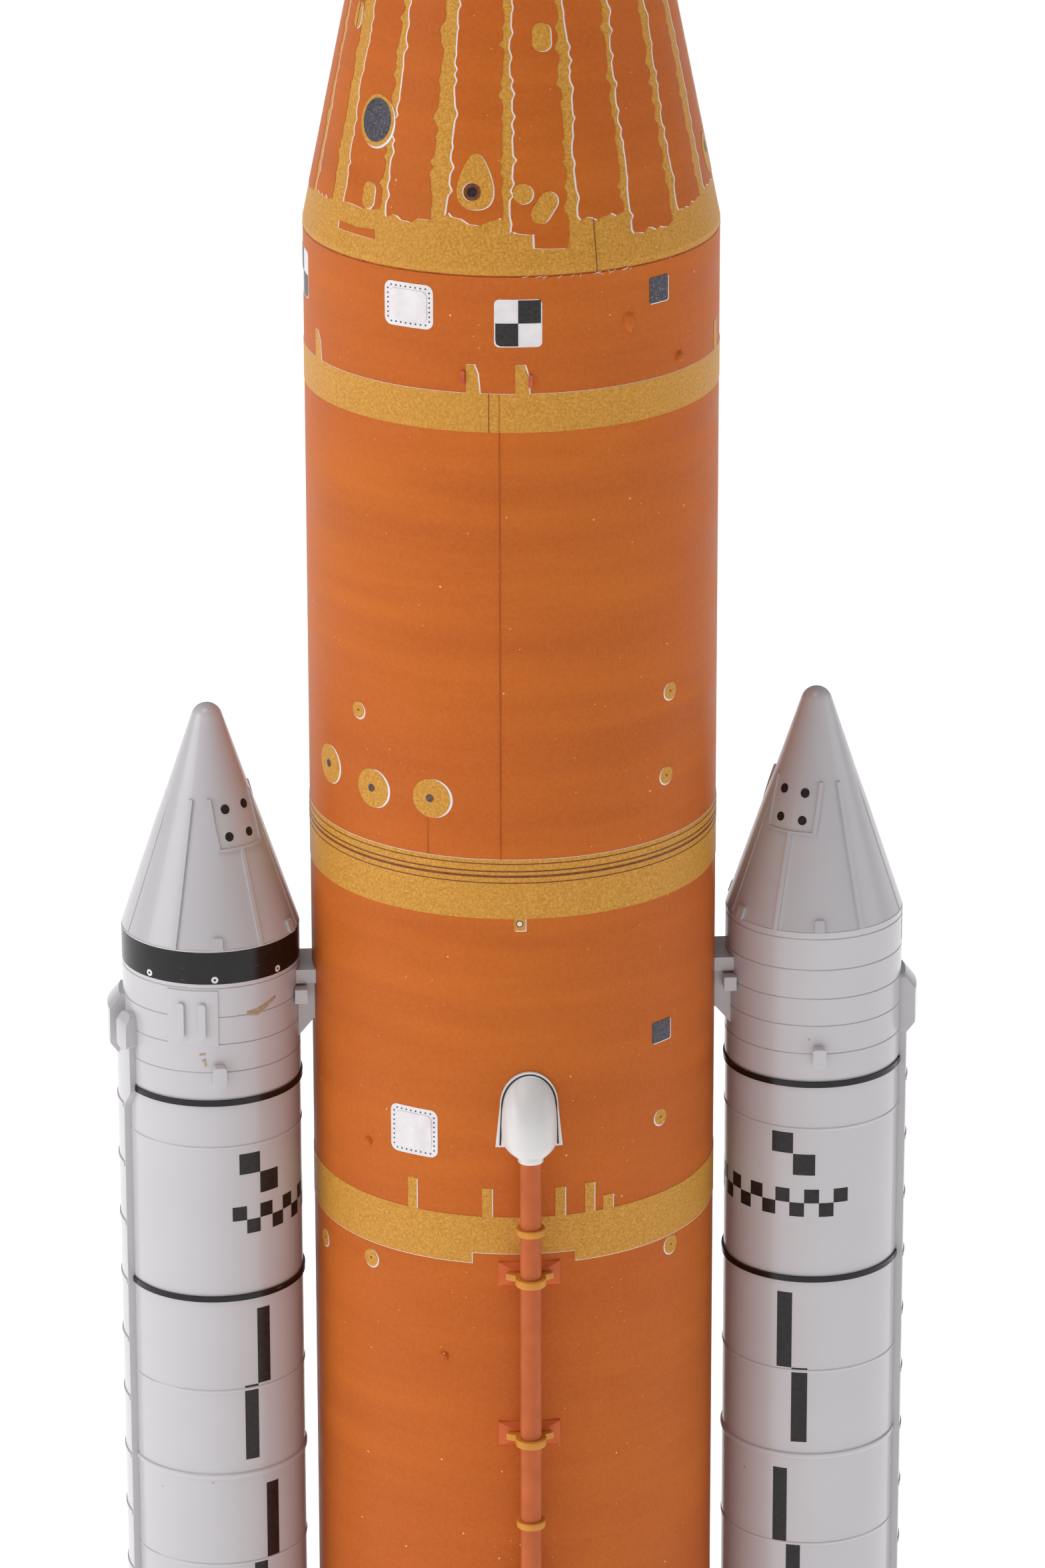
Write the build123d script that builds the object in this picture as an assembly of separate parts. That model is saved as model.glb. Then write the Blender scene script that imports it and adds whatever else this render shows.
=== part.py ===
"""Flying model rocket: a printed core with two strap-on boosters, an 18 mm motor mount and a pull-off nose.

Frame: +Z up, origin on the floor under the core's axis, which is Z. The boosters stand at +X (right) and
-X (left), and -Y is the front. Lengths are in millimetres, angles in degrees from +X towards +Y.
"""
from build123d import *
import os
from math import cos, radians, sin, tan

# Driving dimensions of the core and its datum heights
CORE_R = 21.0                       # over the printed wrap
WRAP = 0.2
TUBE_R = CORE_R - WRAP
BORE_R = TUBE_R - 0.55
BAND_Z = 304.0                      # lower edge of the uppermost gold band, the datum of the print
SPLIT_Z = BAND_Z + 15.84            # where the nose parts from the tube
SPLIT_GAP = 0.05
TAIL_TOP = 24.0                     # lower end of the body tube
BASE_Z = 15.0                       # underside of the base plate
BASE_T = 1.6
BASE_R = 18.6
SHELL = 1.2                         # wall of the moulded shells

# Nose
SHOULDER_R = BORE_R - 0.08
SHOULDER_L = 22.0
CONE_FOOT = 0.76                    # short straight lip under the cone
CONE_SLOPE = 0.204
CONE_TOP = BAND_Z + 57.0
STAGE_R = 12.75
STAGE_TOP = CONE_TOP + 24.5
FLARE_TOP = STAGE_TOP + 7.5
FAIRING_R = 13.75
FAIRING_TOP = FLARE_TOP + 20.0
SHROUD_R = 13.0
SHROUD_TOP = FAIRING_TOP + 30.0
STACK_WALL = 1.0
OGIVE = [(12.0, 8.0), (8.9, 17.0), (5.2, 25.0)]  # radius, height over its foot
TOWER_R = 2.3
TOWER_TOP = 490.5
TOWER_FOOT_L = 6.0
TOWER_HEAD = [                      # radius, depth below the top
    (TOWER_R, 13.0), (2.6, 12.5), (2.6, 10.5), (1.9, 9.5), (1.5, 4.0), (0.8, 1.0)]
ABORT_Z = SHROUD_TOP + 12.0
ABORT_TILT = 20.0
EYELET_R = 2.4
EYELET_WIRE = 0.6
BULKHEAD_T = 1.6
WEIGHT_R = 10.0
WEIGHT_L = 9.4

# Motor mount, for a motor of 18 mm by 70 mm
MOTOR_BORE_R = 9.02
MOTOR_TUBE_R = 9.35
MOTOR_Z = (6.0, 76.0)               # the motor's own place, which sets the hook and the thrust ring
MOTOR_TUBE_FOOT = 12.0
THRUST_RING_TOP = 84.0
THRUST_RING_BORE_R = 6.5
RING_T = 2.0
AFT_RING_Z = 38.0
FORE_RING_Z = 68.0
HOOK_HALF = 1.6
HOOK_T = 0.6
HOOK_Y = 9.65                       # inner face of the hook's strip
HOOK_PIVOT_Z = 81.9
HOOK_FLEX = 4.0
HOOK_PLAY = 0.5
HOOK_TAB = 0.8                      # how far the tab reaches inside the motor's bore radius
HOOK_CATCH = 2.0
HOOK_FINGER = 3.0

# Launch lugs, for a rod of 4.8 mm
LUG_BORE_R = 2.5
LUG_R = 2.8
LUG_L = 28.0
LUG_Z = {"lower": 60.0, "upper": 230.0}
LUG_ANGLE = 62.0
LUG_AXIS_R = CORE_R + LUG_R + 0.3

# Main engines
ENGINE_ANGLES = (45, 135, 225, 315)
ENGINE_CIRCLE_R = 15.2
ENGINE_EXIT_R = 5.3
ENGINE_EXIT_Z = 2.0
ENGINE_SPIGOT_R = 2.0
ENGINE_WALL = 0.6
ENGINE_THROAT_Z = 10.6
ENGINE_BELL = [(2.3, ENGINE_THROAT_Z), (3.3, 8.6), (4.2, 6.2), (4.9, 3.8), (ENGINE_EXIT_R, ENGINE_EXIT_Z)]
POWERHEAD_R = 3.1
POWERHEAD_L = 1.6
POWERHEAD_FOOT_R = 1.7

# Feedlines, one at the front and one at the back
PIPE_R = 1.1
PIPE_Y = 23.0
HOOD_TOP = BAND_Z - 67.85
HOOD_L = 9.0
HOOD_HALF = 2.6
HOOD_T = 3.6
HOOD_FLANGE_HALF = 3.5
HOOD_FLANGE_T = 0.35
LOWER_HOOD_TOP = 62.0
PAD_Z = [BAND_Z - 90.2 - 18.0 * k for k in range(9)]
PAD_HALF = 3.2
PAD_H = 2.6
PAD_T = 0.55
COLLAR_Z = [BAND_Z - 84.6, BAND_Z - 117.5, BAND_Z - 153.5, BAND_Z - 189.5, BAND_Z - 225.5]
COLLAR_R = 1.5

# Boosters, drawn on their own axis with +X outwards
BOOSTER_X = 31.5
CASE_R = 9.15
CASE_WALL = 0.8
SKIRT_R = 9.22
NOSE_FOOT = BAND_Z - 58.3
NOSE_SLOPE = 0.334
NOSE_TIP_R = 1.65
SKIRT_FOOT = BAND_Z - 74.55
BLACK_RINGS = [(BAND_Z - 75.45, 0.62), (BAND_Z - 97.5, 0.6)]
BLACK_RING_PROUD = 0.22
JOINT_PITCH = 20.35
JOINT_RINGS = [BAND_Z - 117.95 - JOINT_PITCH * k for k in range(7)]
JOINT_H = 0.7
JOINT_PROUD = 0.2
ATTACH_Z = 41.0
ATTACH_R = 9.95
AFT_TOP = 14.0
AFT_R = 13.2
NOZZLE_R = 8.0
NOZZLE_BELL = [(4.2, AFT_TOP), (4.6, 11.0), (6.4, 6.0), (NOZZLE_R - 0.4, 2.4), (NOZZLE_R, 1.0)]
NOZZLE_PLATE_T = 1.5
TUNNEL_R = 9.95
TUNNEL_SPAN = (-16.0, 19.0)
TUNNEL_HEAD = BAND_Z - 65.1
OUTER_BOX = [(9.6, 0.2), (10.87, 1.5), (10.87, 5.9), (10.3, 6.9)]  # radius, depth below the tunnel's head
OUTER_BOX_SPAN = (-17.0, 11.0)
INNER_BOX = [(10.5, 2.4), (10.5, 5.1)]
INNER_BOX_SPAN = (18.0, 32.0)
LUG_ANGLES = (-92.5, 92.5)
LUG_HEIGHTS = (BAND_Z - 73.05, BAND_Z - 70.85)
RIB_ANGLES = (68.6, 82.2)
RIB_HEIGHTS = (BAND_Z - 67.8, BAND_Z - 64.0)
BRACKET_TOP = BAND_Z - 63.0
BRACKET_FOOT = BAND_Z - 68.7
BRACKET_POINT = BAND_Z - 72.2
BRACKET_HALF = 2.4
FIN_T = 1.0
FIN_REACH = 34.0
FIN_ROOT_TOP = 54.0
FIN_TIP_TOP = 20.0
FIN_ANGLES = {"front": -45, "rear": 45}

# Recovery gear
CHUTE_R = 15.0
CHUTE_TOP = 170.0
HANK_TOP = 186.0
HANK_Y = 4.0
CORD_R = 0.8
CORD_MOUNT_Z = 262.0
CORD_MOUNT_L = 22.0
CORD_MOUNT_R = 18.0
CORD_MOUNT_SPAN = (65.0, 115.0)
LINES_Z = (122.0, 129.0)
LINES_T = 0.7
HANK_HALF = (10.0, 4.5)
LEG_PATH = [
    (0, 13.5, 178), (0.6, 17.5, 184), (-0.6, 18.4, 197), (0.5, 18.9, 216), (0, CORD_MOUNT_R + 1.1, 240),
    (0, CORD_MOUNT_R + 1.05, CORD_MOUNT_Z)]
RISER_PATH = [(0, HANK_Y, HANK_TOP), (0.2, HANK_Y, 204), (1.2, 3.4, 226), (-0.8, 2.2, 250), (0, 0.4, 274)]

upright = (Align.CENTER, Align.CENTER, Align.MIN)
nodes = {}


# ---- Shapes that repeat -----------------------------------------------------------------------------

def rod(radius, low, high, x=0.0, y=0.0):
    """Solid cylinder along Z."""
    return Pos(x, y, low) * Cylinder(radius, high - low, align=upright)


def tube(outer, inner, low, high, x=0.0, y=0.0):
    """Straight tube along Z."""
    return rod(outer, low, high, x, y) - rod(inner, low - 1, high + 1, x, y)


def block(x0, x1, y0, y1, z0, z1):
    """Box between two corners."""
    return Pos((x0 + x1) / 2, (y0 + y1) / 2, (z0 + z1) / 2) * Box(x1 - x0, y1 - y0, z1 - z0)


def turned(points, start=0.0, end=360.0):
    """Closed outline of (radius, z) points, turned about Z between two angles."""
    outline = Plane.XZ * make_face(Polyline(*points, close=True))
    return Rot(0, 0, start) * revolve(outline, Axis.Z, end - start)


def sector(inner, outer, start, end, low, high):
    """Part of a tube between two angles."""
    return turned([(inner, low), (outer, low), (outer, high), (inner, high)], start, end)


def plate(points, half):
    """Outline of (x, z) points, thickened by half to each side of the XZ plane."""
    return extrude(Plane.XZ * make_face(Polyline(*points, close=True)), half, both=True)


def on_circle(radius, angle):
    """Point on a circle about the Z axis."""
    return radius * cos(radians(angle)), radius * sin(radians(angle))


def cord(points):
    """Round cord along straight runs, with each corner as round as its two runs allow."""
    runs = [Vector(*b) - Vector(*a) for a, b in zip(points, points[1:])]
    radii = []
    for before, after in zip(runs, runs[1:]):
        turn = radians(before.get_angle(after))
        radii.append(0.45 * min(before.length, after.length) / tan(turn / 2))
    print("cord radii", [round(radius, 1) for radius in radii])
    path = FilletPolyline(*points, radius=radii)
    section = Plane(origin=points[0], z_dir=runs[0]) * Circle(CORD_R)
    return sweep(section, path)


# ---- Core and its tail ------------------------------------------------------------------------------

def make_core():
    nodes["core_tube"] = tube(TUBE_R, BORE_R, TAIL_TOP, SPLIT_Z)
    nodes["core_wrap"] = tube(CORE_R, TUBE_R, TAIL_TOP, SPLIT_Z)


def hook_slot(z):
    """Slot that lets the engine hook swing outwards at height z."""
    reach = HOOK_Y + HOOK_T + (HOOK_PIVOT_Z - z) * tan(radians(HOOK_FLEX)) + HOOK_PLAY
    half = HOOK_HALF + HOOK_PLAY
    return block(-half, half, 0, reach, z - 2, z + 3)


def make_boat_tail():
    """Tail cone with a shoulder inside the tube, closed by the base plate that holds the engines."""
    shoulder_r = BORE_R - 0.05
    shoulder_top = TAIL_TOP + 11.0
    hole_r = MOTOR_TUBE_R + 0.05
    tail = turned([
        (hole_r, BASE_Z), (BASE_R, BASE_Z), (CORE_R, TAIL_TOP), (shoulder_r, TAIL_TOP),
        (shoulder_r, shoulder_top), (shoulder_r - SHELL, shoulder_top), (shoulder_r - SHELL, TAIL_TOP),
        (BASE_R - SHELL, BASE_Z + BASE_T), (hole_r, BASE_Z + BASE_T)])
    tail -= hook_slot(BASE_Z)
    for angle in ENGINE_ANGLES:
        tail -= rod(ENGINE_SPIGOT_R, BASE_Z - 1, BASE_Z + BASE_T + 1, *on_circle(ENGINE_CIRCLE_R, angle))
    nodes["boat_tail"] = tail


def make_engines():
    """Four bell nozzles, each under a stubby powerhead with a spigot in the base plate."""
    inside = [(radius - ENGINE_WALL, z) for radius, z in reversed(ENGINE_BELL)]
    powerhead = [
        (0, BASE_Z + BASE_T), (ENGINE_SPIGOT_R, BASE_Z + BASE_T), (ENGINE_SPIGOT_R, BASE_Z),
        (POWERHEAD_R, BASE_Z), (POWERHEAD_R, BASE_Z - POWERHEAD_L),
        (POWERHEAD_FOOT_R, BASE_Z - POWERHEAD_L - 1)]
    engine = turned(powerhead + ENGINE_BELL + inside + [(0, ENGINE_THROAT_Z)])
    for number, angle in enumerate(ENGINE_ANGLES, start=1):
        nodes[f"main_engine_{number}"] = Pos(*on_circle(ENGINE_CIRCLE_R, angle)) * engine


# ---- Motor mount ------------------------------------------------------------------------------------

def make_motor_mount():
    """Motor tube in two centering rings, with the thrust ring on its end that stops the motor."""
    half = HOOK_HALF + HOOK_PLAY
    slot_half = HOOK_T / 2 + HOOK_PLAY
    slot = block(-half, half, MOTOR_BORE_R - HOOK_TAB - HOOK_PLAY, MOTOR_TUBE_R + 1,
                 HOOK_PIVOT_Z - slot_half, HOOK_PIVOT_Z + slot_half)
    nodes["motor_tube"] = tube(MOTOR_TUBE_R, MOTOR_BORE_R, MOTOR_TUBE_FOOT, MOTOR_Z[1])
    nodes["thrust_ring"] = tube(MOTOR_TUBE_R, THRUST_RING_BORE_R, MOTOR_Z[1], THRUST_RING_TOP) - slot
    for name, z in (("aft_centering_ring", AFT_RING_Z), ("fore_centering_ring", FORE_RING_Z)):
        nodes[name] = tube(BORE_R, MOTOR_TUBE_R, z, z + RING_T) - hook_slot(z)


def make_engine_hook():
    """Spring strip: a tab in the thrust ring's slot, a catch under the motor, and a finger end."""
    back = HOOK_Y + HOOK_T
    top = HOOK_PIVOT_Z + HOOK_T / 2
    catch_z = MOTOR_Z[0]
    strip = block(-HOOK_HALF, HOOK_HALF, HOOK_Y, back, catch_z - HOOK_FINGER, top)
    tab = block(-HOOK_HALF, HOOK_HALF, MOTOR_BORE_R - HOOK_TAB, back, top - HOOK_T, top)
    catch = block(-HOOK_HALF, HOOK_HALF, MOTOR_BORE_R - HOOK_CATCH, back, catch_z - HOOK_T, catch_z)
    nodes["engine_hook"] = strip + tab + catch


def make_launch_lugs():
    """Two rod guides on small saddles, on the rear right of the core."""
    for name, z in LUG_Z.items():
        saddle = block(CORE_R - 1, LUG_AXIS_R - LUG_R + 0.6, -1.2, 1.2, z + 1.5, z + LUG_L - 1.5)
        lug = rod(LUG_R, z, z + LUG_L, LUG_AXIS_R) + (saddle - rod(CORE_R, z, z + LUG_L))
        lug -= rod(LUG_BORE_R, z - 1, z + LUG_L + 1, LUG_AXIS_R)
        nodes[f"launch_lug_{name}"] = Rot(0, 0, LUG_ANGLE) * lug


# ---- Recovery gear ----------------------------------------------------------------------------------

def make_recovery():
    """Rolled parachute with its lines, and the elastic cord from the tube's wall to the nose."""
    corner = 3.0
    chute = rod(CHUTE_R, THRUST_RING_TOP, CHUTE_TOP)
    nodes["parachute"] = fillet(chute.edges().filter_by(GeomType.CIRCLE), corner)
    nodes["parachute_lines"] = tube(CHUTE_R + LINES_T, CHUTE_R, *LINES_Z)
    nodes["shock_cord_mount"] = sector(
        CORD_MOUNT_R, BORE_R, *CORD_MOUNT_SPAN, CORD_MOUNT_Z, CORD_MOUNT_Z + CORD_MOUNT_L)
    half_x, half_y = HANK_HALF
    back = HANK_Y + half_y
    hank = block(-half_x, half_x, HANK_Y - half_y, back, CHUTE_TOP, HANK_TOP)
    hank = fillet(hank.edges().filter_by(Axis.Z), corner)
    leg_start = (0, back, LEG_PATH[0][2])
    nodes["shock_cord_pack"] = hank + cord([leg_start, *LEG_PATH])
    eyelet_foot = (0, 0, SPLIT_Z - SHOULDER_L - 2 * EYELET_R - EYELET_WIRE - 1.0)
    nodes["shock_cord_riser"] = cord([*RISER_PATH, eyelet_foot])


# ---- Nose -------------------------------------------------------------------------------------------

def cone_radius(z):
    """Outer radius of the printed cone at height z."""
    return CORE_R - CONE_SLOPE * max(0.0, z - SPLIT_Z - CONE_FOOT)


def make_nose():
    """Adapter cone with a shoulder in the tube, its wrap, and the closed bulkhead with its eyelet."""
    foot = SPLIT_Z + SPLIT_GAP
    lip = SPLIT_Z + CONE_FOOT
    low = SPLIT_Z - SHOULDER_L
    top_r = cone_radius(CONE_TOP) - WRAP
    nodes["adapter_cone"] = turned([
        (SHOULDER_R, low), (SHOULDER_R, foot), (TUBE_R, foot), (TUBE_R, lip), (top_r, CONE_TOP),
        (top_r - SHELL, CONE_TOP), (SHOULDER_R - SHELL, lip), (SHOULDER_R - SHELL, low)])
    nodes["cone_wrap"] = turned([
        (TUBE_R, foot), (CORE_R, foot), (CORE_R, lip), (top_r + WRAP, CONE_TOP), (top_r, CONE_TOP),
        (TUBE_R, lip)])
    bulkhead = rod(SHOULDER_R - SHELL, low, low + BULKHEAD_T)
    ring_z = low - EYELET_R + 0.3
    nodes["nose_bulkhead"] = bulkhead + Pos(0, 0, ring_z) * Rot(90, 0, 0) * Torus(EYELET_R, EYELET_WIRE)
    nodes["nose_weight"] = rod(WEIGHT_R, low + BULKHEAD_T, low + BULKHEAD_T + WEIGHT_L)


def make_upper_stack():
    """Upper stage, flared adapter, service fairing, crew shroud and escape tower."""
    wall = STACK_WALL
    nodes["upper_stage"] = tube(STAGE_R, STAGE_R - wall, CONE_TOP, STAGE_TOP)
    nodes["stage_adapter"] = turned([
        (STAGE_R, STAGE_TOP), (FAIRING_R, FLARE_TOP), (FAIRING_R - wall, FLARE_TOP),
        (STAGE_R - wall, STAGE_TOP)])
    nodes["service_fairing"] = tube(FAIRING_R, FAIRING_R - wall, FLARE_TOP, FAIRING_TOP)
    nodes["crew_shroud"] = ogive(0) - ogive(wall)
    foot_top = SHROUD_TOP + TOWER_FOOT_L
    head = [(radius, TOWER_TOP - depth) for radius, depth in TOWER_HEAD]
    nodes["escape_tower"] = turned([
        (0, SHROUD_TOP), (TOWER_R + 0.4, SHROUD_TOP), (TOWER_R, foot_top), *head, (0, TOWER_TOP)])
    cone = turned([(0, 0), (0.8, -2.6), (0.45, 1.2), (0, 1.2)])
    cone = Pos(TOWER_R + 0.7, 0, ABORT_Z) * Rot(0, -ABORT_TILT, 0) * cone
    body = rod(TOWER_R, foot_top, head[0][1])
    nodes["abort_nozzles"] = Compound([Rot(0, 0, angle) * cone - body for angle in ENGINE_ANGLES])


def ogive(wall):
    """Solid ogive over the service fairing, smaller all round by a wall."""
    foot = (SHROUD_R - wall, FAIRING_TOP)
    tip = (TOWER_R + 0.4 - wall, SHROUD_TOP - wall)
    middle = [(radius - wall, FAIRING_TOP + height) for radius, height in OGIVE]
    side = Spline(foot, *middle, tip, tangents=((-0.02, 1), (-0.35, 1)))
    face = make_face([
        side, Line(tip, (0, tip[1])), Line((0, tip[1]), (0, FAIRING_TOP)), Line((0, FAIRING_TOP), foot)])
    return revolve(Plane.XZ * face, Axis.Z, 360)


# ---- Feedlines --------------------------------------------------------------------------------------

def hood(top, length, upside_down=False):
    """Rounded fairing over a feedline's end, on a thin flange that follows the core."""
    end = top - length
    body = rod(HOOD_HALF, end, top - HOOD_HALF)
    body += Pos(0, 0, top - HOOD_HALF) * Sphere(HOOD_HALF)
    body = Pos(0, -CORE_R - HOOD_T + HOOD_HALF, 0) * body
    body += block(-HOOD_HALF, HOOD_HALF, -CORE_R - HOOD_T + HOOD_HALF, -CORE_R + 1, end, top - HOOD_HALF)
    flange = rod(CORE_R + HOOD_FLANGE_T, end + 1.6, top)
    middle = top - HOOD_FLANGE_HALF
    outline = Pos(0, -CORE_R, middle) * Rot(90, 0, 0) * Cylinder(HOOD_FLANGE_HALF, 8)
    outline += block(-HOOD_FLANGE_HALF, HOOD_FLANGE_HALF, -CORE_R - 4, -CORE_R + 4, end + 1.6, middle)
    piece = body + (flange & outline)
    if upside_down:
        piece = Pos(0, 0, top + end) * Rot(0, 180, 0) * piece
    return piece - rod(CORE_R, end - 20, top + 20)


def make_pads():
    """Pyramid pads under the clamps, curved to the core on their back."""
    pads = []
    for z in PAD_Z:
        base = Pos(0, -CORE_R, z) * Rot(90, 0, 0) * Rectangle(2 * PAD_HALF, PAD_H)
        top = Pos(0, -CORE_R - PAD_T, z) * Rot(90, 0, 0) * Rectangle(PAD_HALF, PAD_H * 0.45)
        pads.append(loft([base, top]) + block(-PAD_HALF, PAD_HALF, -CORE_R, -CORE_R + 1,
                                              z - PAD_H / 2, z + PAD_H / 2))
    return Compound([pad - rod(CORE_R, z - 5, z + 5) for pad, z in zip(pads, PAD_Z)])


def make_clamps(pipe):
    """Collars round the feedline, and at each pad a clamp with two splayed arms."""
    clamps = []
    for z in PAD_Z:
        clamp = tube(COLLAR_R + 0.1, PIPE_R, z - 0.4, z + 0.4, 0, -PIPE_Y)
        for side in (-1, 1):
            arm = block(COLLAR_R - 0.4, 2.6, -0.45, 0.45, z - 0.35, z + 0.35)
            arm = Pos(0, -PIPE_Y + 0.3, 0) * Rot(0, 0, 30) * arm
            clamp += arm if side > 0 else mirror(arm, Plane.YZ)
        clamps.append(clamp - pipe)
    for z in COLLAR_Z:
        clamps.append(tube(COLLAR_R, PIPE_R, z - 0.35, z + 0.35, 0, -PIPE_Y))
    return clamps


def make_feedlines():
    hood_end = HOOD_TOP - HOOD_L
    pipe = rod(PIPE_R, LOWER_HOOD_TOP, hood_end, 0, -PIPE_Y)
    pads = make_pads()
    line = {
        "feedline": pipe,
        "feedline_hood": hood(HOOD_TOP, HOOD_L),
        "feedline_foot_hood": hood(LOWER_HOOD_TOP, HOOD_L, upside_down=True),
    }
    for name, shape in line.items():
        nodes[f"{name}_front"] = shape
        nodes[f"{name}_rear"] = Rot(0, 0, 180) * shape
    clamps = Compound([clamp - pads for clamp in make_clamps(pipe)])
    nodes["feedline_pads"] = Compound([pads, Rot(0, 0, 180) * pads])
    nodes["feedline_clamps"] = Compound([clamps, Rot(0, 0, 180) * clamps])


# ---- Boosters ---------------------------------------------------------------------------------------

def booster_nose():
    """Hollow cone with a ball tip and a plug that fits the forward skirt."""
    half_angle_sin = NOSE_SLOPE / (1 + NOSE_SLOPE ** 2) ** 0.5
    half_angle_cos = 1 / (1 + NOSE_SLOPE ** 2) ** 0.5
    apex = NOSE_FOOT + CASE_R / NOSE_SLOPE
    centre = apex - NOSE_TIP_R / half_angle_sin
    touch = (NOSE_TIP_R * half_angle_cos, centre + NOSE_TIP_R * half_angle_sin)
    middle = (NOSE_TIP_R * sin(radians(35)), centre + NOSE_TIP_R * cos(radians(35)))
    tip = (0, centre + NOSE_TIP_R)
    plug_r = SKIRT_R - CASE_WALL
    plug_z = NOSE_FOOT - 5.0
    edges = [Line((CASE_R, NOSE_FOOT), touch), ThreePointArc(touch, middle, tip)]
    edges += Polyline(tip, (0, centre - 4), (CASE_R - 2.2, NOSE_FOOT), (plug_r - 1, plug_z), (plug_r, plug_z),
                      (plug_r, NOSE_FOOT), (CASE_R, NOSE_FOOT)).edges()
    return revolve(Plane.XZ * make_face(edges), Axis.Z, 360)


def booster_forward_skirt():
    """Skirt under the nose, with a small lug at the front and rear and two ribs on its panel."""
    skirt = tube(SKIRT_R, SKIRT_R - CASE_WALL, SKIRT_FOOT, NOSE_FOOT)
    for angle in LUG_ANGLES:
        skirt += Rot(0, 0, angle) * block(SKIRT_R - 0.4, SKIRT_R + 0.95, -0.65, 0.65, *LUG_HEIGHTS)
    for angle in RIB_ANGLES:
        skirt += Rot(0, 0, angle) * block(SKIRT_R - 0.4, SKIRT_R + 0.3, -0.4, 0.4, *RIB_HEIGHTS)
    return skirt


def booster_tunnel():
    """Cable tunnel down the outer side, notched over the joints, with two boxes and a neck at its head."""
    head = TUNNEL_HEAD
    inner_r = CASE_R - 1
    tunnel = sector(inner_r, TUNNEL_R, *TUNNEL_SPAN, AFT_TOP + 0.3, head - 1)
    outer = [(radius, head - depth) for radius, depth in OUTER_BOX]
    tunnel += turned([(inner_r, head), *outer, (inner_r, outer[-1][1])], *OUTER_BOX_SPAN)
    inner = [(radius, head - depth) for radius, depth in INNER_BOX]
    tunnel += turned([(inner_r, inner[0][1] + 1), *inner, (inner_r, inner[-1][1])], *INNER_BOX_SPAN)
    tunnel += sector(inner_r, TUNNEL_R, 18, 28, head - 10.5, head - 3)
    tunnel += sector(inner_r, TUNNEL_R, 18, 24, head - 12.1, head - 3)
    for z in JOINT_RINGS:
        tunnel -= rod(CASE_R + JOINT_PROUD, z, z + JOINT_H)
    return tunnel - rod(CASE_R, 0, SKIRT_FOOT) - rod(SKIRT_R, SKIRT_FOOT, NOSE_FOOT)


def booster_case():
    """Case with a low ring at each joint."""
    bore_r = CASE_R - CASE_WALL
    proud_r = CASE_R + JOINT_PROUD
    outside = []
    for z in reversed(JOINT_RINGS):
        outside += [(CASE_R, z), (proud_r, z), (proud_r, z + JOINT_H), (CASE_R, z + JOINT_H)]
    return turned([
        (bore_r, AFT_TOP), (CASE_R, AFT_TOP), *outside, (CASE_R, SKIRT_FOOT), (bore_r, SKIRT_FOOT)])


def booster_black_bands(tunnel):
    """Raised black bands round the case, broken where the tunnel passes."""
    proud_r = CASE_R + BLACK_RING_PROUD
    return Compound([tube(proud_r, CASE_R, z, z + height) - tunnel for z, height in BLACK_RINGS])


def booster_bracket():
    """Forward bracket between core and booster: a web, a head block and a small block at each face."""
    core_x = CORE_R - BOOSTER_X
    outer_x = core_x + 3
    web = plate([
        (core_x - 1, BRACKET_TOP), (outer_x, BRACKET_TOP), (outer_x, BRACKET_POINT),
        (core_x, BRACKET_FOOT), (core_x - 1, BRACKET_FOOT)], BRACKET_HALF)
    web += block(core_x - 1, outer_x, -3.1, 3.1, BRACKET_TOP - 1.5, BRACKET_TOP)
    for low, high in ((-4.3, -2.0), (2.0, 4.3)):
        web += block(core_x + 0.7, core_x + 2.0, low, high, BRACKET_TOP - 3.3, BRACKET_TOP - 1.8)
    return web - rod(CORE_R, 0, SPLIT_Z, -BOOSTER_X) - rod(SKIRT_R, 0, SPLIT_Z)


def booster_aft_attach(tunnel_gap):
    """Attach ring round the case, with three struts to the core."""
    attach = tube(ATTACH_R, CASE_R, ATTACH_Z - 0.8, ATTACH_Z + 0.8) - tunnel_gap
    inner_x = CORE_R - BOOSTER_X
    for y in (-6.5, 0, 6.5):
        strut = Pos(inner_x, y, ATTACH_Z) * Rot(0, 90, 0) * Cylinder(0.7, 9)
        attach += strut - rod(CORE_R, 0, SPLIT_Z, -BOOSTER_X) - rod(CASE_R, 0, SPLIT_Z)
    return attach


def booster_aft_skirt():
    """Flared skirt that the model stands on, open below."""
    wall = 1.0
    return turned([
        (CASE_R, AFT_TOP), (AFT_R, 0.8), (AFT_R, 0), (AFT_R - wall, 0), (AFT_R - wall, 0.8),
        (CASE_R - wall, AFT_TOP)])


def booster_nozzle():
    """Bell under a plate that closes the case."""
    wall = 0.8
    plate_r = CASE_R - CASE_WALL
    plate_top = AFT_TOP + NOZZLE_PLATE_T
    inside = [(radius - wall, z) for radius, z in reversed(NOZZLE_BELL[1:])]
    return turned([(0, plate_top), (plate_r, plate_top), (plate_r, AFT_TOP), *NOZZLE_BELL, *inside, (0, 12)])


def booster_fin(angle):
    """Clear swept fin that follows the case and the skirt's flare, and reaches the floor."""
    fin = plate([
        (CASE_R - 2, FIN_ROOT_TOP), (CASE_R, FIN_ROOT_TOP), (FIN_REACH, FIN_TIP_TOP), (FIN_REACH, 0),
        (CASE_R - 2, 0)], FIN_T / 2)
    inside = turned([(0, -1), (AFT_R, -1), (AFT_R, 0.8), (CASE_R, AFT_TOP), (CASE_R, 60), (0, 60)])
    ring = rod(ATTACH_R, ATTACH_Z - 0.8, ATTACH_Z + 0.8)
    return Rot(0, 0, angle) * (fin - inside - ring)


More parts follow.
